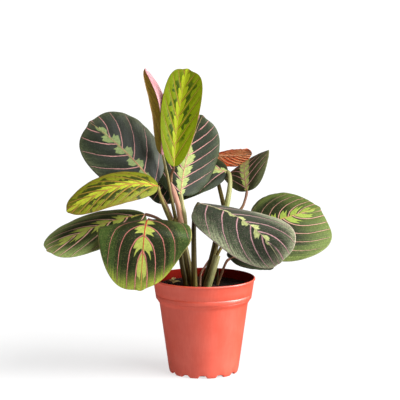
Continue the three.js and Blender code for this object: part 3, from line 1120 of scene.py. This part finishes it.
SHRED = LeafShape(
    (0, 0, 0), (0, 0, 0), (0, 0, 0), 5.0, (0.1, -0.2, 1.0), (-0.1, -0.5, 1.0), fold=14, curl=30, veins=4,
    ruffle=1.2, quilting=0.3,
)
LEAVES = {
    "upper_left": (MATURE_DEEP, UNDER_MATURE, LeafShape(
        (-57, 4, 221.4), (-88, -7, 265.4), (-133, 15, 294.4), 86, (0, -0.82, 0.57), curl=-10, widest=0.56,
        roundness=0.7, veins=5.7, reach=2.3, arch=1.7, lead=0.85, stagger=-0.4, ruffle=3.0,
    )),
    "middle_left": (YOUNG_BLOTCHED, UNDER_YOUNG, LeafShape(
        (-53, -20, 224), (-97, -34, 238.5), (-154.5, -56, 200.5), 49.5, (0.05, -0.66, 0.75),
        tip_facing=(-0.09, -0.66, 0.75), fold=-2, curl=-8, widest=0.52, roundness=0.84, veins=7.3,
        reach=2.3, arch=1.2, ruffle=2.0,
    )),
    "lower_left": (MATURE_PALE, UNDER_MATURE, LeafShape(
        (-69, 1, 188), (-126, -22, 183.5), (-178.5, -49, 153.5), 81, (-0.08, -0.36, 0.93), fold=-2,
        curl=-11, widest=0.55, roundness=0.8, veins=5.6, reach=1.7, arch=1.9, lead=0.3, stagger=-0.3,
    )),
    "front_left": (MATURE_GREEN, UNDER_MATURE, LeafShape(
        (-64, -34, 187), (-67, -108, 200), (-72, -62, 110.5), 108, (-0.07, -0.3, 0.95),
        tip_facing=(0.23, -0.88, 0.41), fold=-2, widest=0.38, roundness=0.51, veins=5.4, reach=1.2,
        arch=2.8, lead=0.45, stagger=-0.08,
    )),
    "top": (YOUNG_BRIGHT, UNDER_YOUNG, LeafShape(
        (-34.5, -19, 247), (-32.5, -2, 305), (-19, -1, 357), 48, (0.2, -0.95, 0.07), fold=10, curl=10,
        widest=0.65, roundness=0.68, reach=2.4, arch=1.15, stagger=0.25, ruffle=0.8,
    )),
    "rolled": (ROLLED_FACE, UNDER_ROLLED, LeafShape(
        (-48, 7, 257), (-27.5, 9, 310), (-67, 8, 357), 53, (-0.55, -0.82, 0.1), fold=38, curl=75,
        roundness=0.84, ruffle=0.8,
    )),
    "centre": (MATURE_BROAD, UNDER_MATURE, LeafShape(
        (-27, 9, 209), (-24.5, 28, 251), (-2, 40, 299), 79, (0.3, -0.9, 0.25), fold=-5, widest=0.57,
        roundness=0.77, reach=2.2, arch=1.4, lead=0.4, stagger=0.3,
    )),
    "back_centre": (MATURE_BROAD, UNDER_MATURE, LeafShape(
        (29, 47, 232), (-19, 43.5, 246), (-67, 57, 204), 73, (0.13, -0.6, 0.79), fold=-5, curl=-13,
        widest=0.54, roundness=0.82, reach=2.2, arch=1.4, lead=0.4, stagger=0.3,
    )),
    "back_right": (replace(MATURE_DEEP, slot="leaf_aged"), UNDER_AGED, LeafShape(
        (16, 68, 250), (36, 76, 247), (57, 84, 249), 34, (0, 0.75, 0.6), curl=-20, ruffle=3.0, quilting=1.0,
    )),
    "small_right": (MATURE_SMALL, UNDER_MATURE, LeafShape(
        (51.5, 30, 211), (44, 45, 259), (57.5, 98, 233), 64, (-0.42, -0.8, 0.4),
        tip_facing=(-0.55, -0.3, 0.8), fold=-2, curl=-10, widest=0.58, roundness=0.7, veins=9.0, reach=2.2,
        arch=1.4,
    )),
    "front_right": (MATURE_SILVER, UNDER_MATURE, LeafShape(
        (-5.5, -14, 203.2), (62, -59, 195.2), (85, -98, 149.7), 83.5, (-0.6, 0.25, 0.75), fold=-14,
        curl=-14, widest=0.42, roundness=0.65, veins=6.6, reach=2.1, arch=2.5, stagger=0.4,
    )),
    "right": (MATURE_OLIVE, UNDER_MATURE, LeafShape(
        (59, 36, 167), (99, 36, 178), (139, 62, 186.5), 117, (0.17, -0.55, 0.82), fold=-8, curl=-16,
        roundness=0.42, veins=6.9, reach=1.27, arch=2.7, lead=0.92, stagger=0.45,
    )),
    # This blade's colours carry painted shade.
    "lower_right": (MATURE_DARK, UNDER_MATURE, LeafShape(
        (31, 10, 133), (59, 22, 141.5), (83, 36, 126), 57, (0, -0.35, 0.9),
    )),
}


# ---------------------------------------------------------------- stalks


@dataclass(frozen=True)
class Stalk:
    """A stem, petiole or sheath along a path.

    Attributes:
        node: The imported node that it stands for.
        bark: Its finish.
        start, end: Radius at the foot and at the top.
        path: The points that it passes through, from the foot up, in millimetres.
        swell: How much thicker the joint just under a blade is, as a fraction of the radius.
        point: How far the end draws in to a point, 0 to 1.
    """

    node: str
    bark: Bark
    start: Millimetres
    end: Millimetres
    path: tuple[Point, ...]
    swell: float = 0.0
    point: float = 0.0


@dataclass
class StalkRule(Grower):
    """The rule for stalks: a round, faintly ribbed section swept along a path.

    Attributes:
        steps, sides: Sections along the path, and points round a section.
        ribs: Height of the ribs.
        joint, joint_spread: Middle and half length of the joint, as shares of the stalk's length.
        drawn: Where a pointed end starts to draw in.
    """

    steps: int = 90
    sides: int = 40
    ribs: Millimetres = 0.22
    joint: float = 0.93
    joint_spread: float = 0.07
    drawn: float = 0.8

    def __post_init__(self) -> None:
        """Builds the tree."""
        super().__init__("stalk_rule", [StalkRule, Stalk], {"Skin": "Material", "Variation": "Float"})
        path = self.add("GeometryNodeMeshToCurve", {}, {"Mesh": self.input("Seed")})
        path = self.add("GeometryNodeCurveSplineType", {"spline_type": "CATMULL_ROM"}, {"Curve": path})
        path = self.add("GeometryNodeResampleCurve", {}, {"Curve": path, "Count": self.input("Steps")})
        path = self.store(path, {"along": self.add("GeometryNodeSplineParameter", {}, {}, "Factor")})
        circle = {"Resolution": self.input("Sides"), "Radius": 1.0}
        section = self.add("GeometryNodeCurvePrimitiveCircle", {}, circle)
        where = self.add("GeometryNodeInputPosition", {}, {})
        section = self.store(section, {"ring": where}, "FLOAT_VECTOR")
        sweep = {"Curve": path, "Profile Curve": section, "Scale": self._radius(), "Fill Caps": True}
        tube = self.add("GeometryNodeCurveToMesh", {}, sweep)
        self.end(self.move(tube, "Offset", self._ribbing()), {"Skin": True})

    def _radius(self) -> Socket:
        """The section's radius along the path.

        Returns:
            The radius.
        """
        s = self.attribute("along")
        radius = self.input("Start") * (1 - s) + self.input("End") * s
        bulge = self.bell((s - self.input("Joint")) / self.input("Joint Spread"))
        radius = radius * (1 + bulge * self.input("Swell"))
        return radius * (1 - self.smooth(s, self.input("Drawn"), 1.0) * self.input("Point"))

    def _ribbing(self) -> Socket:
        """How far the skin stands out along its normal.

        Returns:
            The offset.
        """
        ring_x, ring_y, _ = self.split(self.attribute("ring", "FLOAT_VECTOR"))
        height = self.attribute("along") * 1.2 + self.input("Variation")
        ribs = self.grain(self.join(ring_x * 2.2, ring_y * 2.2, height), 1.0) * self.input("Ribs") * 2
        return self.add("GeometryNodeInputNormal", {}, {}) * ribs

    def grow(self, name: str, stalk: Stalk, skin: Material, variation: float) -> Object:
        """Grows one stalk.

        Args:
            name: The piece's name.
            stalk: Its path and radii.
            skin: Its material.
            variation: Where the ribs are read, so that no two stalks are alike.

        Returns:
            The stalk.
        """
        seed = bpy.data.meshes.new(name)
        edges = [(index, index + 1) for index in range(len(stalk.path) - 1)]
        seed.from_pydata([metres(point) for point in stalk.path], edges, [])
        values = {**measured(self), **measured(stalk), "Skin": skin, "Variation": variation}
        return self.run(name, seed, values)


@dataclass
class Stalks:
    """The stems, petioles and sheaths.

    Attributes:
        rule: The rule that they grow by.
        stalks: What is grown.
    """

    rule: StalkRule
    stalks: tuple[Stalk, ...]

    VARIATION = 3.7

    def build(self) -> None:
        """Grows, dresses and places every stalk."""
        skins: dict[Bark, Material] = {}
        for index, stalk in enumerate(self.stalks):
            bark = stalk.bark
            if bark not in skins:
                skins[bark] = bark.skin(f"{bark.slot}_skin")
            name = stalk.node.removeprefix("leaf_") + "_stalk"
            piece = self.rule.grow(name, stalk, skins[bark], index * self.VARIATION)
            stand_for(piece, stalk.node, bark.slot)


STALKS = (
    Stalk("stem_left", STALK_OLIVE, 3.6, 4.6, path=(
        (-11, 1, 89), (-13, 0, 101), (-17, -2, 122), (-21.5, -3, 144), (-27, -4, 165), (-32, -4, 184))),
    Stalk("stem_right", STALK_DARK, 3.7, 4.2, path=(
        (-2, 6, 89), (-0.7, 7, 101), (9, 9.5, 130), (15.5, 12.5, 156), (21, 15, 178), (23.5, 16.5, 186))),
    Stalk("leaf_front_right_petiole", STALK_DARK, 3.8, 2.4, path=(
        (-10.5, -15, 89), (-11, -17, 110), (-11.5, -20, 145), (-11.5, -21, 176), (-10, -19, 194.5),
        (-5.5, -14, 203.2))),
    Stalk("sheath_right", SHEATH_PALE, 5, 4.2, path=(
        (2, -4, 89), (4, -3, 101), (10, -1.5, 120), (15.7, 0, 139))),
    Stalk("leaf_lower_right_petiole", STALK_RED, 1.8, 1.4, swell=0.15, path=(
        (14, 7, 89), (16, 6, 101), (22, 5.5, 119), (27, 8, 130), (31, 10, 133))),
    Stalk("bract", SHEATH_PINK, 1.9, 1, point=0.8, path=(
        (-5, -4, 89), (-4.5, -4, 104), (-3.5, -3, 117), (2, -1, 127), (7, 1, 136))),
    Stalk("stub", STALK_DARK, 1.6, 1.3, path=((15, 13, 89), (16, 13, 108), (17, 12.5, 121))),
    Stalk("sheath_left_dark", STALK_DARK, 3.4, 3, point=0.7, path=(
        (-19, 1, 89), (-20.5, 0, 104), (-24.5, -3.5, 124), (-27, -6, 142), (-27.5, -9, 157))),
    Stalk("leaf_right_petiole", STALK_DARK, 2, 1.6, swell=0.15, path=(
        (15.7, 0, 139.2), (20, 2, 147), (31, 12, 161), (47, 26, 167), (59, 36, 167))),
    Stalk("sheath_left_pink", SHEATH_PINK, 3.4, 2.8, point=0.75, path=(
        (-23, -10, 164), (-27.5, -10, 185), (-30, -11, 200), (-34, -12, 214), (-38, -12, 228))),
    Stalk("leaf_top_petiole", STALK_RED, 1.6, 1.4, path=(
        (-38, -12, 228.4), (-37.5, -14, 236), (-35.5, -18, 243), (-34.5, -19, 247))),
    Stalk("leaf_centre_petiole", SHEATH_PALE, 2.9, 2.4, path=(
        (-21, -3, 162), (-22.5, -2, 186), (-25, 1, 197), (-27, 9, 209))),
    Stalk("leaf_rolled_petiole", STALK_OLIVE, 2.2, 1.4, path=(
        (-33, 1, 182), (-37.5, 3, 205), (-42.5, 6, 232), (-48, 7, 257))),
    Stalk("leaf_middle_left_petiole", STALK_OLIVE, 2.8, 1.8, swell=0.15, path=(
        (-37, -7, 178), (-43, -9, 191), (-49, -13, 207), (-52, -18, 219), (-53, -20, 224))),
    Stalk("leaf_upper_left_petiole", STALK_RED, 2, 1.6, swell=0.15, path=(
        (-37, -1, 182), (-43.5, 3, 197), (-50, 2, 210), (-57, 4, 221.4))),
    Stalk("leaf_lower_left_petiole", STALK_RED, 2, 1.6, swell=0.15, path=(
        (-29, 0, 162), (-41, -1, 174), (-56, 0, 184), (-69, 1, 188))),
    Stalk("leaf_front_left_petiole", STALK_RED, 2.2, 1.8, swell=0.15, path=(
        (-28, -9, 156), (-41, -15, 168), (-54, -26, 181), (-64, -34, 187))),
    Stalk("leaf_back_centre_petiole", SHEATH_PALE, 3.8, 2.2, swell=0.1, path=(
        (24, 17, 186.5), (28, 20, 200), (31, 27, 218), (31, 38, 228), (29, 47, 232))),
    Stalk("leaf_back_right_petiole", STALK_DARK, 2.8, 2, path=(
        (25, 20, 188), (22, 32, 201), (18, 50, 216), (14, 64, 232), (14, 69, 244), (16, 68, 250))),
    Stalk("leaf_small_right_petiole", STALK_RED, 1.8, 1.5, swell=0.15, path=(
        (23, 18, 181), (35, 20, 184), (45, 22, 192), (49.5, 26, 202.5), (51.5, 30, 211))),
)


# ---------------------------------------------------------------- pot


@dataclass(frozen=True)
class Arches:
    """The shallow arches round the pot's foot, in millimetres and degrees.

    Attributes:
        foot: Radius of the foot.
        count: How many there are.
        width, height: Size of one.
        turn: Where the first one is.
        sole: Height of the foot that they are cut into.
        depth: How far in from the foot's edge they go.
    """

    foot: float
    count: int = 12
    width: float = 10.0
    height: float = 3.6
    turn: float = -2.0
    sole: float = 3.0
    depth: float = 4.0

    def raised(self, turn: float, radius: float, height: float) -> float:
        """Height of a foot point once the arches are cut.

        Args:
            turn: The point's direction, in radians.
            radius: Its radius.
            height: Its height before.

        Returns:
            Its height after.
        """
        if height > self.sole or radius < self.foot - self.depth:
            return height
        pitch = 2 * math.pi / self.count
        offset = (turn + math.pi / 2 - math.radians(self.turn) + pitch / 2) % pitch - pitch / 2
        across = abs(offset) * self.foot / (self.width / 2)
        return max(height, self.height * math.sqrt(max(0.0, 1 - across ** 3)))


def lathe(profile: Profile, segments: int, arches: Optional[Arches] = None) -> bmesh.types.BMesh:
    """Turns a profile round the upright axis.

    Args:
        profile: Radius and height of each point, in millimetres; it starts and ends on the axis.
        segments: Steps of the turn.
        arches: The arches cut into the foot, if any.

    Returns:
        The closed mesh, in metres.
    """
    mesh = bmesh.new()
    rings = []
    for radius, height in profile:
        ring = []
        for step in range(segments if radius else 1):
            turn = 2 * math.pi * step / segments
            level = arches.raised(turn, radius, height) if arches else height
            ring.append(mesh.verts.new(metres((radius * math.cos(turn), radius * math.sin(turn), level))))
        rings.append(ring)
    for low, high in zip(rings, rings[1:]):
        for step in range(segments):
            after = (step + 1) % segments
            turns = ((low, step), (low, after), (high, after), (high, step))
            corners = dict.fromkeys(ring[place % len(ring)] for ring, place in turns)
            mesh.faces.new(list(corners))
    bmesh.ops.recalc_face_normals(mesh, faces=mesh.faces)
    return mesh


def settle(shape: bmesh.types.BMesh, name: str) -> Mesh:
    """Turns an edited shape into a mesh.

    Args:
        shape: The shape, which is freed.
        name: The mesh's name.

    Returns:
        The mesh.
    """
    mesh = bpy.data.meshes.new(name)
    shape.to_mesh(mesh)
    shape.free()
    return mesh


@dataclass
class Pot:
    """The nursery pot: a turned shell with a rolled lip, a stepped band and an arched foot.

    Attributes:
        rim: Radius at the top.
        lip, lip_height: How far the lip stands out, and its height.
        band, band_radius: Height of the band's lower edge, and the radius there.
        groove: Height of the fine groove in the band.
        shoulder, shoulder_radius: Height where the wall starts below the band, and the radius there.
        foot, foot_radius: Height of the foot, and the radius just above it.
        base_radius: Radius of the underside.
        wall: Thickness of the wall.
        floor: Height of the floor's upper face.
        segments: Steps of the turn.
        top: Height of the pot.
    """

    rim: float = 60.0
    lip: float = 0.8
    lip_height: float = 3.0
    band: float = 89.0
    band_radius: float = 56.4
    groove: float = 94.5
    shoulder: float = 83.8
    shoulder_radius: float = 52.4
    foot: float = 3.0
    foot_radius: float = 41.2
    base_radius: float = 40.2
    wall: float = 1.4
    floor: float = 2.0
    segments: int = 240
    top: float = field(init=False)

    SOLE = ((-3.4, 1.0), (-2.9, 0.5), (-2.5, 0.0), (-0.6, 0.0), (0.0, 0.5), (0.5, 1.6))
    WALL = (4.6, 12, 24, 36, 48, 60, 72, 80, 83)
    STEP = ((0.2, 0.0), (0.9, 0.9))
    BAND_EDGE = ((-1.3, -1.4), (-0.9, -0.7), (-1.0, -0.3), (-0.2, 0.0))
    GROOVE = ((0.0, -0.8), (-0.3, -0.3), (-0.45, 0.0), (-0.3, 0.3), (0.0, 0.8))
    LIP_FOOT = ((-0.35, 0.6), (0.0, 1.3))
    LIP_TOP = ((0.75, -0.9), (0.5, -0.35), (0.1, -0.02), (-0.7, 0.0), (-1.15, -0.25), (-1.4, -0.9))
    INNER_WALL = (106, 98, 92, 88.5, 87.4, 85, 83.5, 70, 50, 30, 12, 4)
    SHARP = 50 * DEGREE
    TOUCH, SLACK = 0.01, 0.3

    def __post_init__(self) -> None:
        """Reads the pot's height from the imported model."""
        self.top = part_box("pot")[1].z / MM

    def build(self) -> None:
        """Turns, dresses and places the pot."""
        shell = lathe(self._profile(), self.segments, Arches(self.base_radius, sole=self.foot))
        # The inside mark is where the pot's skin paints shade and dulls its finish.
        inner = shell.verts.layers.float.new("inside")
        for vert in shell.verts:
            height = vert.co.z / MM
            radius = vert.co.xy.length / MM
            hidden = height >= self.floor - self.TOUCH and radius < self._inner(height) + self.SLACK
            vert[inner] = float(hidden)
        mesh = settle(shell, "nursery_pot")
        mesh.shade_smooth()
        mesh.set_sharp_from_angle(angle=self.SHARP)
        mesh.materials.append(PotSkin().material)
        stand_for(show("nursery_pot", mesh), "pot", "pot_plastic")

    def _outer(self, height: float) -> float:
        """Radius of the wall's outer face below the shoulder, or of the band above it.

        Args:
            height: Where it is asked for.

        Returns:
            The radius.
        """
        low, high = (self.foot, self.foot_radius), (self.shoulder, self.shoulder_radius)
        if height >= self.band:
            low, high = (self.band, self.band_radius), (self.top, self.rim)
        return low[1] + (high[1] - low[1]) * (height - low[0]) / (high[0] - low[0])

    def _inner(self, height: float) -> float:
        """Radius of the wall's inner face.

        Args:
            height: Where it is asked for.

        Returns:
            The radius.
        """
        if self.shoulder < height < self.band:
            share = (height - self.shoulder) / (self.band - self.shoulder)
            return self.shoulder_radius + (self.band_radius - self.shoulder_radius) * share - self.wall
        return self._outer(height) - self.wall

    def _profile(self) -> Profile:
        """The pot's section.

        Returns:
            Radius and height of its points, from the middle of the underside out, up and back down inside.
        """
        lip_foot, outer, corner = self.top - self.lip_height, self.rim + self.lip, self._inner(self.foot)
        profile = [(0, 1.0)]
        profile += [(self.base_radius + out, up) for out, up in self.SOLE]
        profile += [(self._outer(height), height) for height in self.WALL]
        profile += [(self.shoulder_radius + out, self.shoulder + up) for out, up in self.STEP]
        profile += [(self.band_radius + out, self.band + up) for out, up in self.BAND_EDGE]
        profile += [(self._outer(self.band + 0.5), self.band + 0.5)]
        profile += [(self._outer(self.groove + up) + out, self.groove + up) for out, up in self.GROOVE]
        profile += [(self._outer(height), height) for height in (102.0, lip_foot - 0.3)]
        profile += [(self._outer(lip_foot) + 0.15, lip_foot + 0.1)]
        profile += [(outer + out, lip_foot + up) for out, up in self.LIP_FOOT]
        profile += [(self.rim + out, self.top + up) for out, up in self.LIP_TOP]
        profile += [(self._inner(height), height) for height in self.INNER_WALL]
        profile += [(corner - 0.6, self.floor + 0.2), (corner - 1.6, self.floor), (0, self.floor)]
        return profile


# ---------------------------------------------------------------- soil and litter


@dataclass(frozen=True)
class Crumbs:
    """The crumbs on the soil.

    Attributes:
        density: Crumbs per square metre.
        smallest, largest: Radius of the smallest and of the largest.
        draw: What their places and sizes are drawn from.
    """

    density: float = 190000.0
    smallest: Millimetres = 0.4
    largest: Millimetres = 1.5
    draw: int = 11


@dataclass
class Soil:
    """The potting soil: a body that fills the pot and crumbs strewn over it.

    Attributes:
        crumbs: Its crumbs.
        top: Mean height of its surface, in millimetres.
        radius: Its radius at the top.
        segments: Steps of the turn that makes its body.
        rings: Rings of points on its surface.
        pitch: How far apart they are.
    """

    crumbs: Crumbs = Crumbs()
    top: float = 103.0
    radius: float = 56.6
    segments: int = 160
    rings: int = 60
    pitch: float = 0.93

    SIDE = [(0, 2.3), (38, 2.3), (39.4, 2.8), (50.6, 83.7), (54.6, 89.2)]
    LUMPS, SWELLS = 120, 40
    CRUMBS_ABOVE = 90 * MM
    LEVEL = 0.3
    FULL_TURN = 6.28

    def build(self) -> None:
        """Makes, dresses and places the soil."""
        values = {**measured(self.crumbs), "Skin": SoilSkin().material}
        stand_for(self._rule().run("potting_soil", self._body(), values), "soil", "potting_soil")

    def _body(self) -> Mesh:
        """The lumpy body under the crumbs.

        Returns:
            A closed mesh.
        """
        profile = [*self.SIDE, (self.radius - 0.5, self.top - 2)]
        profile += [(self.radius - 1.2 - ring * self.pitch, self.top) for ring in range(self.rings)]
        body = lathe([*profile, (0, self.top)], self.segments)
        for vert in body.verts:
            if vert.co.z > (self.top - 1) * MM:
                lump = noise.fractal(vert.co * self.LUMPS, 0.8, 2.0, 4) * 0.9
                vert.co.z += (lump + noise.noise(vert.co * self.SWELLS) * 0.8 - 0.4) * MM
        return settle(body, "potting_soil")

    def _rule(self) -> Grower:
        """Builds the tree that strews the crumbs.

        Returns:
            The tree.
        """
        rule = Grower("soil_rule", [Crumbs], {"Skin": "Material"})
        normal, place = (rule.add(f"GeometryNodeInput{kind}", {}, {}) for kind in ("Normal", "Position"))
        upper = rule.math("GREATER_THAN", rule.split(normal)[2], self.LEVEL)
        upper = upper * rule.math("GREATER_THAN", rule.split(place)[2], self.CRUMBS_ABOVE)
        draw = {"Seed": rule.input("Draw")}
        strew = {"Mesh": rule.input("Seed"), "Selection": upper, "Density": rule.input("Density"), **draw}
        points = rule.add("GeometryNodeDistributePointsOnFaces", {}, strew)
        share = rule.add("FunctionNodeRandomValue", {"data_type": "FLOAT"}, draw)
        size = rule.input("Smallest") + (rule.input("Largest") - rule.input("Smallest")) * share ** 4
        turns = {"Min": (0.0, 0.0, 0.0), "Max": (self.FULL_TURN,) * 3, "Seed": 3}
        turn = rule.add("FunctionNodeRandomValue", {"data_type": "FLOAT_VECTOR"}, turns)
        crumb = rule.add("GeometryNodeMeshIcoSphere", {}, {"Radius": 1.0, "Subdivisions": 2})
        crumb = rule.move(crumb, "Offset", normal * (rule.grain(place, 1.1) * 0.9))
        scale = rule.join(size, size * 0.8, size * 0.62)
        strewn = {"Points": points, "Instance": crumb, "Rotation": turn, "Scale": scale}
        crumbs = rule.add("GeometryNodeInstanceOnPoints", {}, strewn)
        whole = rule.add("GeometryNodeJoinGeometry", {}, {"Geometry": [crumbs, rule.input("Seed")]})
        rule.end(whole, {"Skin": True})
        return rule


@dataclass
class Litter:
    """Three dry shreds of old leaf on the soil.

    Attributes:
        rule: The rule for blades, which shapes them too.
        turns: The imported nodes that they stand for, and how far each is turned, in degrees.
        length: Half the length of a shred, in millimetres.
        arch: How far its middle is drawn up.
        rise: How far its tip lies above its base.
    """

    rule: BladeRule
    turns: tuple = (("litter_front", 30.0), ("litter_middle", -40.0), ("litter_back", 75.0))
    length: float = 4.4
    arch: float = 1.6
    rise: float = 0.8

    VARIATION = (50, 4.1)

    def build(self) -> None:
        """Grows, dresses and places the shreds."""
        skin = DrySkin().material
        for index, (node, turn) in enumerate(self.turns):
            low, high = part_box(node)
            middle = (low + high) / 2 / MM
            reach = Vector((math.cos(math.radians(turn)), math.sin(math.radians(turn)), 0)) * self.length
            crown, tip = middle + Vector((0, 0, self.arch)), middle + reach + Vector((0, 0, self.rise))
            shape = replace(SHRED, base=tuple(middle - reach), crown=tuple(crown), tip=tuple(tip))
            first, step = self.VARIATION
            piece = self.rule.grow(f"{node}_shred", shape, skin, skin, first + index * step)
            stand_for(piece, node, "dry_litter")


# ---------------------------------------------------------------- studio


@dataclass(frozen=True)
class Lamp:
    """A soft light, so far off that it lights the floor evenly.

    Attributes:
        strength: Its strength.
        height: Its height above the horizon, in degrees.
        side: How far to the right of the camera it stands, in degrees.
        width: How wide it looks, in degrees.
    """

    strength: float
    height: float
    side: float
    width: float

    def hang(self, name: str) -> None:
        """Hangs the light.

        Args:
            name: Its name.
        """
        light = bpy.data.lights.new(name, "SUN")
        light.energy = self.strength
        light.angle = math.radians(self.width)
        show(name, light).rotation_euler = (math.radians(90 - self.height), 0, math.radians(self.side))


@dataclass
class Studio:
    """A pale floor, soft light from the front right and the camera.

    Attributes:
        eye: Where the camera is, in metres.
        pitch: How far it looks down, in degrees.
        lens, sensor: Its focal length and its sensor's width, in millimetres.
        far: How far it sees, in metres.
        floor: Half the floor's side, in metres.
        glow, paper: How brightly the floor, a light table, shines, and its own grey.
        lamps: The broad light at the front right and the softbox at the right.
        ambient: Brightness of the room.
    """

    eye: Point = (-0.0044, -2.0, 0.502)
    pitch: float = 8.45
    lens: float = 155.34
    sensor: float = 36.0
    far: float = 500.0
    floor: float = 60.0
    glow: float = 0.7
    paper: float = 0.3
    lamps: tuple[Lamp, ...] = (Lamp(4.4, 44.0, 58.0, 52.0), Lamp(4.4, 10.0, 84.0, 34.0))
    ambient: float = 0.08

    WHITE = (1.0, 1.0, 1.0, 1.0)

    def build(self) -> None:
        """Sets up camera, floor and lights."""
        self._camera()
        self._floor()
        self._world()
        for name, lamp in zip(("key", "side"), self.lamps):
            lamp.hang(name)
        bpy.context.scene.view_settings.view_transform = "Standard"

    def _camera(self) -> None:
        """Makes the camera and points it."""
        lens = bpy.data.cameras.new("camera")
        lens.lens, lens.sensor_width, lens.clip_end = self.lens, self.sensor, self.far
        camera = show("camera", lens)
        camera.location = self.eye
        camera.rotation_euler = (math.radians(90 - self.pitch), 0, 0)
        bpy.context.scene.camera = camera

    def _floor(self) -> None:
        """Lays the floor, a pale table lit from below, under the pot."""
        mesh = bpy.data.meshes.new("floor")
        corners = [(x * self.floor, y * self.floor, 0) for x, y in ((-1, -1), (1, -1), (1, 1), (-1, 1))]
        mesh.from_pydata(corners, [], [(0, 1, 2, 3)])
        colours = {"Base Color": (self.paper, self.paper, self.paper, 1.0), "Emission Color": self.WHITE}
        shine = {"Specular IOR Level": 0.0, "Emission Strength": self.glow}
        mesh.materials.append(Surface("light_table", Coat.VELVET, {**colours, **shine}).material)
        floor = show("floor", mesh)
        floor.visible_glossy = False

    def _world(self) -> None:
        """Fills the room with even white light."""
        world = bpy.data.worlds.new("studio")
        world.use_nodes = True
        background = world.node_tree.nodes["Background"]
        background.inputs["Color"].default_value = self.WHITE
        background.inputs["Strength"].default_value = self.ambient
        bpy.context.scene.world = world


def main() -> None:
    """Builds the studio, the pot, its soil and the plant, in order."""
    logging.basicConfig(level=logging.INFO, format="%(name)s: %(message)s")
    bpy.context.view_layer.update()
    Studio().build()
    Pot().build()
    Soil().build()
    foliage = Foliage(BladeRule(), LEAVES)
    Litter(foliage.rule).build()
    Stalks(StalkRule(), STALKS).build()
    foliage.build()


if __name__ == "__main__":
    main()
